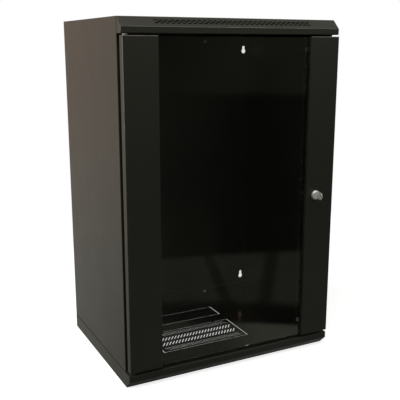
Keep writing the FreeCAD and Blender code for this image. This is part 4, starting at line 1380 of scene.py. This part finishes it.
@dataclass(frozen=True)
class Gap:
    """A dark leaning gap between two shapes of the dim room."""

    slope: float
    centre: float
    reach: float
    left_over: float = 0.35
    dark_share: float = 0.2

    def factor(self, graph: Graph, direction: NodeSocket) -> NodeSocket:
        """What the gap leaves of the brightness.

        Args:
            graph: the world's graph.
            direction: the direction looked in.

        Returns:
            The factor's socket.
        """
        along = graph.dot(direction, (1.0, 0.0, self.slope))
        away = graph.math("ABSOLUTE", graph.math("SUBTRACT", along, self.centre))
        return graph.spread(away, Ramp(self.dark_share * self.reach, self.reach, self.left_over, 1.0))


@dataclass(frozen=True)
class Uprights:
    """Soft upright shapes of the dim room, from a noise that is drawn out in height."""

    scale: float
    shades: Ramp
    height_share: float = 0.25

    def factor(self, graph: Graph, direction: NodeSocket) -> NodeSocket:
        """How the shapes change the brightness.

        Args:
            graph: the world's graph.
            direction: the direction looked in.

        Returns:
            The factor's socket.
        """
        scales = (self.scale, self.scale, self.height_share * self.scale)
        drawn_out = graph.node("ShaderNodeVectorMath", {0: direction, 1: scales}, operation="MULTIPLY")
        place = drawn_out.outputs["Vector"]
        noise = graph.node("ShaderNodeTexNoise", {"Vector": place, "Scale": 1.0, "Detail": 1.0})
        return graph.spread(noise.outputs["Fac"], self.shades)


@dataclass(frozen=True)
class Room:
    """The dim room on the camera's side, which the pane mirrors.

    It has a floor, a low bench, a dark wall and a paler ceiling. Each ramp is a brightness or a factor
    over the rise of the direction looked in, or over its reach along X where the name ends in across.
    """

    floor_edge: Ramp = Ramp(-0.402, -0.394, 0.26, 0.0)
    floor_near: Ramp = Ramp(-0.52, -0.43, 0.14, 0.26)
    floor_across: Ramp = Ramp(0.42, 0.50, 0.40, 1.0)
    floor_shapes: Uprights = Uprights(scale=17.0, shades=Ramp(0.44, 0.54, 0.4, 1.2))
    plain_floor: Ramp = Ramp(-0.60, -0.50, 1.0, 0.0)
    plain_floor_factor: float = 0.8
    bench_foot: Ramp = Ramp(-0.378, -0.362, 0.0, 0.10)
    bench_lean: Point = (-0.082, 0.0, 1.0)
    bench_top: Ramp = Ramp(-0.348, -0.337, 1.0, 0.0)
    bench_across: Ramp = Ramp(0.38, 0.46, 0.8, 1.0)
    bench_gaps: tuple[Gap, ...] = (
        Gap(slope=0.23, centre=0.372, reach=0.012), Gap(slope=-0.31, centre=0.6186, reach=0.014))
    wall: float = 0.032
    wall_shapes: Uprights = Uprights(scale=7.0, shades=Ramp(0.38, 0.62, 0.75, 1.3))
    upper_wall: Ramp = Ramp(-0.076, -0.062, 0.0, 0.032)
    upper_wall_across: Ramp = Ramp(0.37, 0.56, 0.1, 1.5)
    patch_top: Ramp = Ramp(-0.27, -0.19, 0.018, 0.0)
    patch_foot: Ramp = Ramp(-0.34, -0.31, 0.002, 0.018)
    patch_across: Ramp = Ramp(0.44, 0.47, 1.0, 0.0)
    ceiling: Ramp = Ramp(0.05, 0.25, 0.0, 0.55)
    ceiling_overhead: Ramp = Ramp(0.5, 0.8, 1.0, 0.3)

    def brightness(self, graph: Graph, direction: NodeSocket) -> NodeSocket:
        """The room's brightness in a direction.

        Args:
            graph: the world's graph.
            direction: the direction looked in.

        Returns:
            The brightness's socket.
        """
        level = graph.split(direction)["Z"]
        across = graph.split(direction)["X"]
        floor = graph.math(
            "MINIMUM", graph.spread(level, self.floor_edge), graph.spread(level, self.floor_near))
        shapes = graph.choose(
            graph.spread(level, self.plain_floor), self.floor_shapes.factor(graph, direction),
            self.plain_floor_factor)
        floor = graph.math("MULTIPLY", floor, shapes, graph.spread(across, self.floor_across))
        bench = graph.math(
            "MULTIPLY", graph.spread(level, self.bench_foot),
            graph.spread(graph.dot(direction, self.bench_lean), self.bench_top),
            graph.spread(across, self.bench_across),
            *(gap.factor(graph, direction) for gap in self.bench_gaps))
        upper = graph.math(
            "MULTIPLY", graph.spread(level, self.upper_wall),
            graph.spread(across, self.upper_wall_across))
        patch = graph.math(
            "MINIMUM", graph.spread(level, self.patch_top), graph.spread(level, self.patch_foot))
        patch = graph.math("MULTIPLY", patch, graph.spread(across, self.patch_across))
        wall = graph.math("ADD", upper, patch, self.wall)
        wall = graph.math("MULTIPLY", wall, self.wall_shapes.factor(graph, direction))
        ceiling = graph.math(
            "MINIMUM", graph.spread(level, self.ceiling), graph.spread(level, self.ceiling_overhead))
        return graph.math("ADD", floor, bench, graph.math("ADD", wall, ceiling))


@dataclass(frozen=True)
class Lamp:
    """A square soft lamp, with its side's length in metres and its power in watts."""

    name: str
    place: Point
    target: Point
    side: float
    power: float
    colour: Colour

    def hang(self) -> None:
        """Hangs the lamp in its place, facing its target and unseen by the camera."""
        data = bpy.data.lights.new(self.name, "AREA")
        data.energy = self.power
        data.size = self.side
        data.color = self.colour
        made = put_in_scene(self.name, data)
        made.location = self.place
        towards = Vector(self.target) - Vector(self.place)
        made.rotation_euler = towards.to_track_quat("-Z", "Y").to_euler()
        made.visible_camera = False


@dataclass
class Studio:
    """The pale floor, the light and the camera.

    Each ramp is over the rise of the direction looked in, but backdrop, which is over how far the
    direction agrees with the camera's heading.
    """

    eye: Point = (-0.8283, -1.6484, 0.8391)
    tilt: float = math.radians(76.966)
    heading: float = math.radians(-26.965)
    lens: float = 59.99
    sensor: float = 36.0
    floor_left: float = 0.8
    floor_right: float = 1.2
    floor_front: float = 0.8
    floor_back: float = 0.8
    floor_colour: Colour = (0.80, 0.80, 0.80)
    floor_glow: float = 0.80
    ambient: float = 0.12
    room: Room = Room()
    room_tint: Colour = (0.96, 1.0, 0.90)
    backdrop: Ramp = Ramp(0.49, 0.92)
    wall_tint: Colour = (1.02, 0.64, 0.49)
    low_wall_tint: Colour = (1.0, 0.96, 0.88)
    wall_tint_change: Ramp = Ramp(-0.40, 0.0)
    wall_light: Ramp = Ramp(-0.40, 0.0, 1.12, 1.02)
    wall_foot: Ramp = Ramp(-0.70, -0.45, 0.45, 1.2)
    overhead: Ramp = Ramp(0.15, 0.35, 0.0, 0.35)
    low_behind_glass: Ramp = Ramp(-0.40, -0.35, 0.72, 1.0)
    lamps: tuple[Lamp, ...] = (
        Lamp(
            "soft_box", place=(-2.3, 0.3, 0.9), target=(-0.3, 0.0, 0.5), side=1.2, power=50.0,
            colour=(1.0, 0.92, 0.83)),
        Lamp(
            "key_light", place=(1.25, -1.82, 2.31), target=(0.0, -0.22, 0.6), side=0.3, power=8.0,
            colour=(1.0, 1.0, 0.97)),
        Lamp(
            "top_fill", place=(-0.42, -0.88, 2.33), target=(0.2, -0.2, 0.5), side=0.8, power=16.0,
            colour=(1.0, 0.99, 0.96)))

    def build(self) -> None:
        """Sets up the floor, the light and the camera."""
        self.build_floor()
        self.build_world()
        for lamp in self.lamps:
            lamp.hang()
        self.build_camera()
        bpy.context.scene.view_settings.view_transform = "Standard"

    def build_floor(self) -> None:
        """Lays the floor, which metal and glass don't mirror: they show the world there."""
        low, high = (Vector(corner) for corner in CAD_BOX)
        near = low.y - self.floor_front
        far = high.y + self.floor_back
        left = low.x - self.floor_left
        right = high.x + self.floor_right
        data = bpy.data.meshes.new("studio_floor")
        corners = [(left, near), (right, near), (right, far), (left, far)]
        data.from_pydata([(x, y, low.z) for x, y in corners], [], [range(len(corners))])
        data.materials.append(self.floor_material())
        floor = put_in_scene("studio_floor", data)
        floor.visible_glossy = False
        floor.visible_transmission = False

    def floor_material(self) -> Material:
        """A floor that is white to the camera, less part of the object's shadow.

        Returns:
            The material.
        """
        material = bpy.data.materials.new("studio_floor")
        graph = cleared_graph(material)
        seen = graph.node("ShaderNodeLightPath").outputs["Is Camera Ray"]
        glow = graph.choose(seen, 0.0, self.floor_glow)
        paper = graph.node("ShaderNodeBsdfDiffuse", {"Color": self.floor_colour})
        light = graph.node("ShaderNodeEmission", {"Color": WHITE, "Strength": glow})
        both = graph.node("ShaderNodeAddShader", {0: paper.outputs[0], 1: light.outputs[0]})
        graph.node("ShaderNodeOutputMaterial", {"Surface": both.outputs[0]})
        return material

    def build_world(self) -> None:
        """Surrounds the cabinet: white to the camera, a lit wall and a dim room to metal and glass."""
        world = bpy.data.worlds.new("studio_world")
        bpy.context.scene.world = world
        graph = cleared_graph(world)
        path = graph.node("ShaderNodeLightPath").outputs
        direction = graph.node("ShaderNodeTexCoord").outputs["Generated"]
        level = graph.split(direction)["Z"]
        ahead = Euler((0.0, 0.0, self.heading)).to_matrix() @ TOWARDS_WALL
        backdrop = graph.spread(graph.dot(direction, tuple(ahead)), self.backdrop)
        room = self.room.brightness(graph, direction)
        overhead = graph.math("ADD", room, graph.spread(level, self.overhead))
        behind_glass = graph.math("MAXIMUM", backdrop, overhead)
        behind_glass = graph.math("MULTIPLY", behind_glass, graph.spread(level, self.low_behind_glass))
        light = graph.math(
            "MINIMUM", graph.spread(level, self.wall_light), graph.spread(level, self.wall_foot))
        mirrored = graph.math("MAXIMUM", graph.math("MULTIPLY", backdrop, light), room)
        strength = graph.choose(path["Is Glossy Ray"], self.ambient, mirrored)
        strength = graph.choose(path["Is Transmission Ray"], strength, behind_glass)
        strength = graph.choose(path["Is Camera Ray"], strength, 1.0)
        plain = graph.math("MAXIMUM", path["Is Camera Ray"], path["Is Transmission Ray"])
        wall = graph.mix(graph.spread(level, self.wall_tint_change), self.low_wall_tint, self.wall_tint)
        colour = graph.mix(plain, graph.mix(backdrop, self.room_tint, wall), WHITE)
        sky = graph.node("ShaderNodeBackground", {"Color": colour, "Strength": strength})
        graph.node("ShaderNodeOutputWorld", {"Surface": sky.outputs[0]})

    def build_camera(self) -> None:
        """Sets the camera where the photograph was taken from."""
        data = bpy.data.cameras.new("view_camera")
        data.lens = self.lens
        data.sensor_width = self.sensor
        camera = put_in_scene("view_camera", data)
        camera.location = self.eye
        camera.rotation_euler = Euler((self.tilt, 0.0, self.heading))
        bpy.context.scene.camera = camera


def main() -> None:
    """Builds and dresses each sub-assembly, then the studio."""
    logging.basicConfig(level=logging.INFO, format="%(name)s: %(message)s")
    palette = Palette()
    for kind in (Shell, RackRails, GlazedDoor, DoorHinge, CamLock):
        assembly = kind(palette)
        assembly.dress()
        assembly.build()
    Studio().build()


if __name__ == "__main__":
    main()
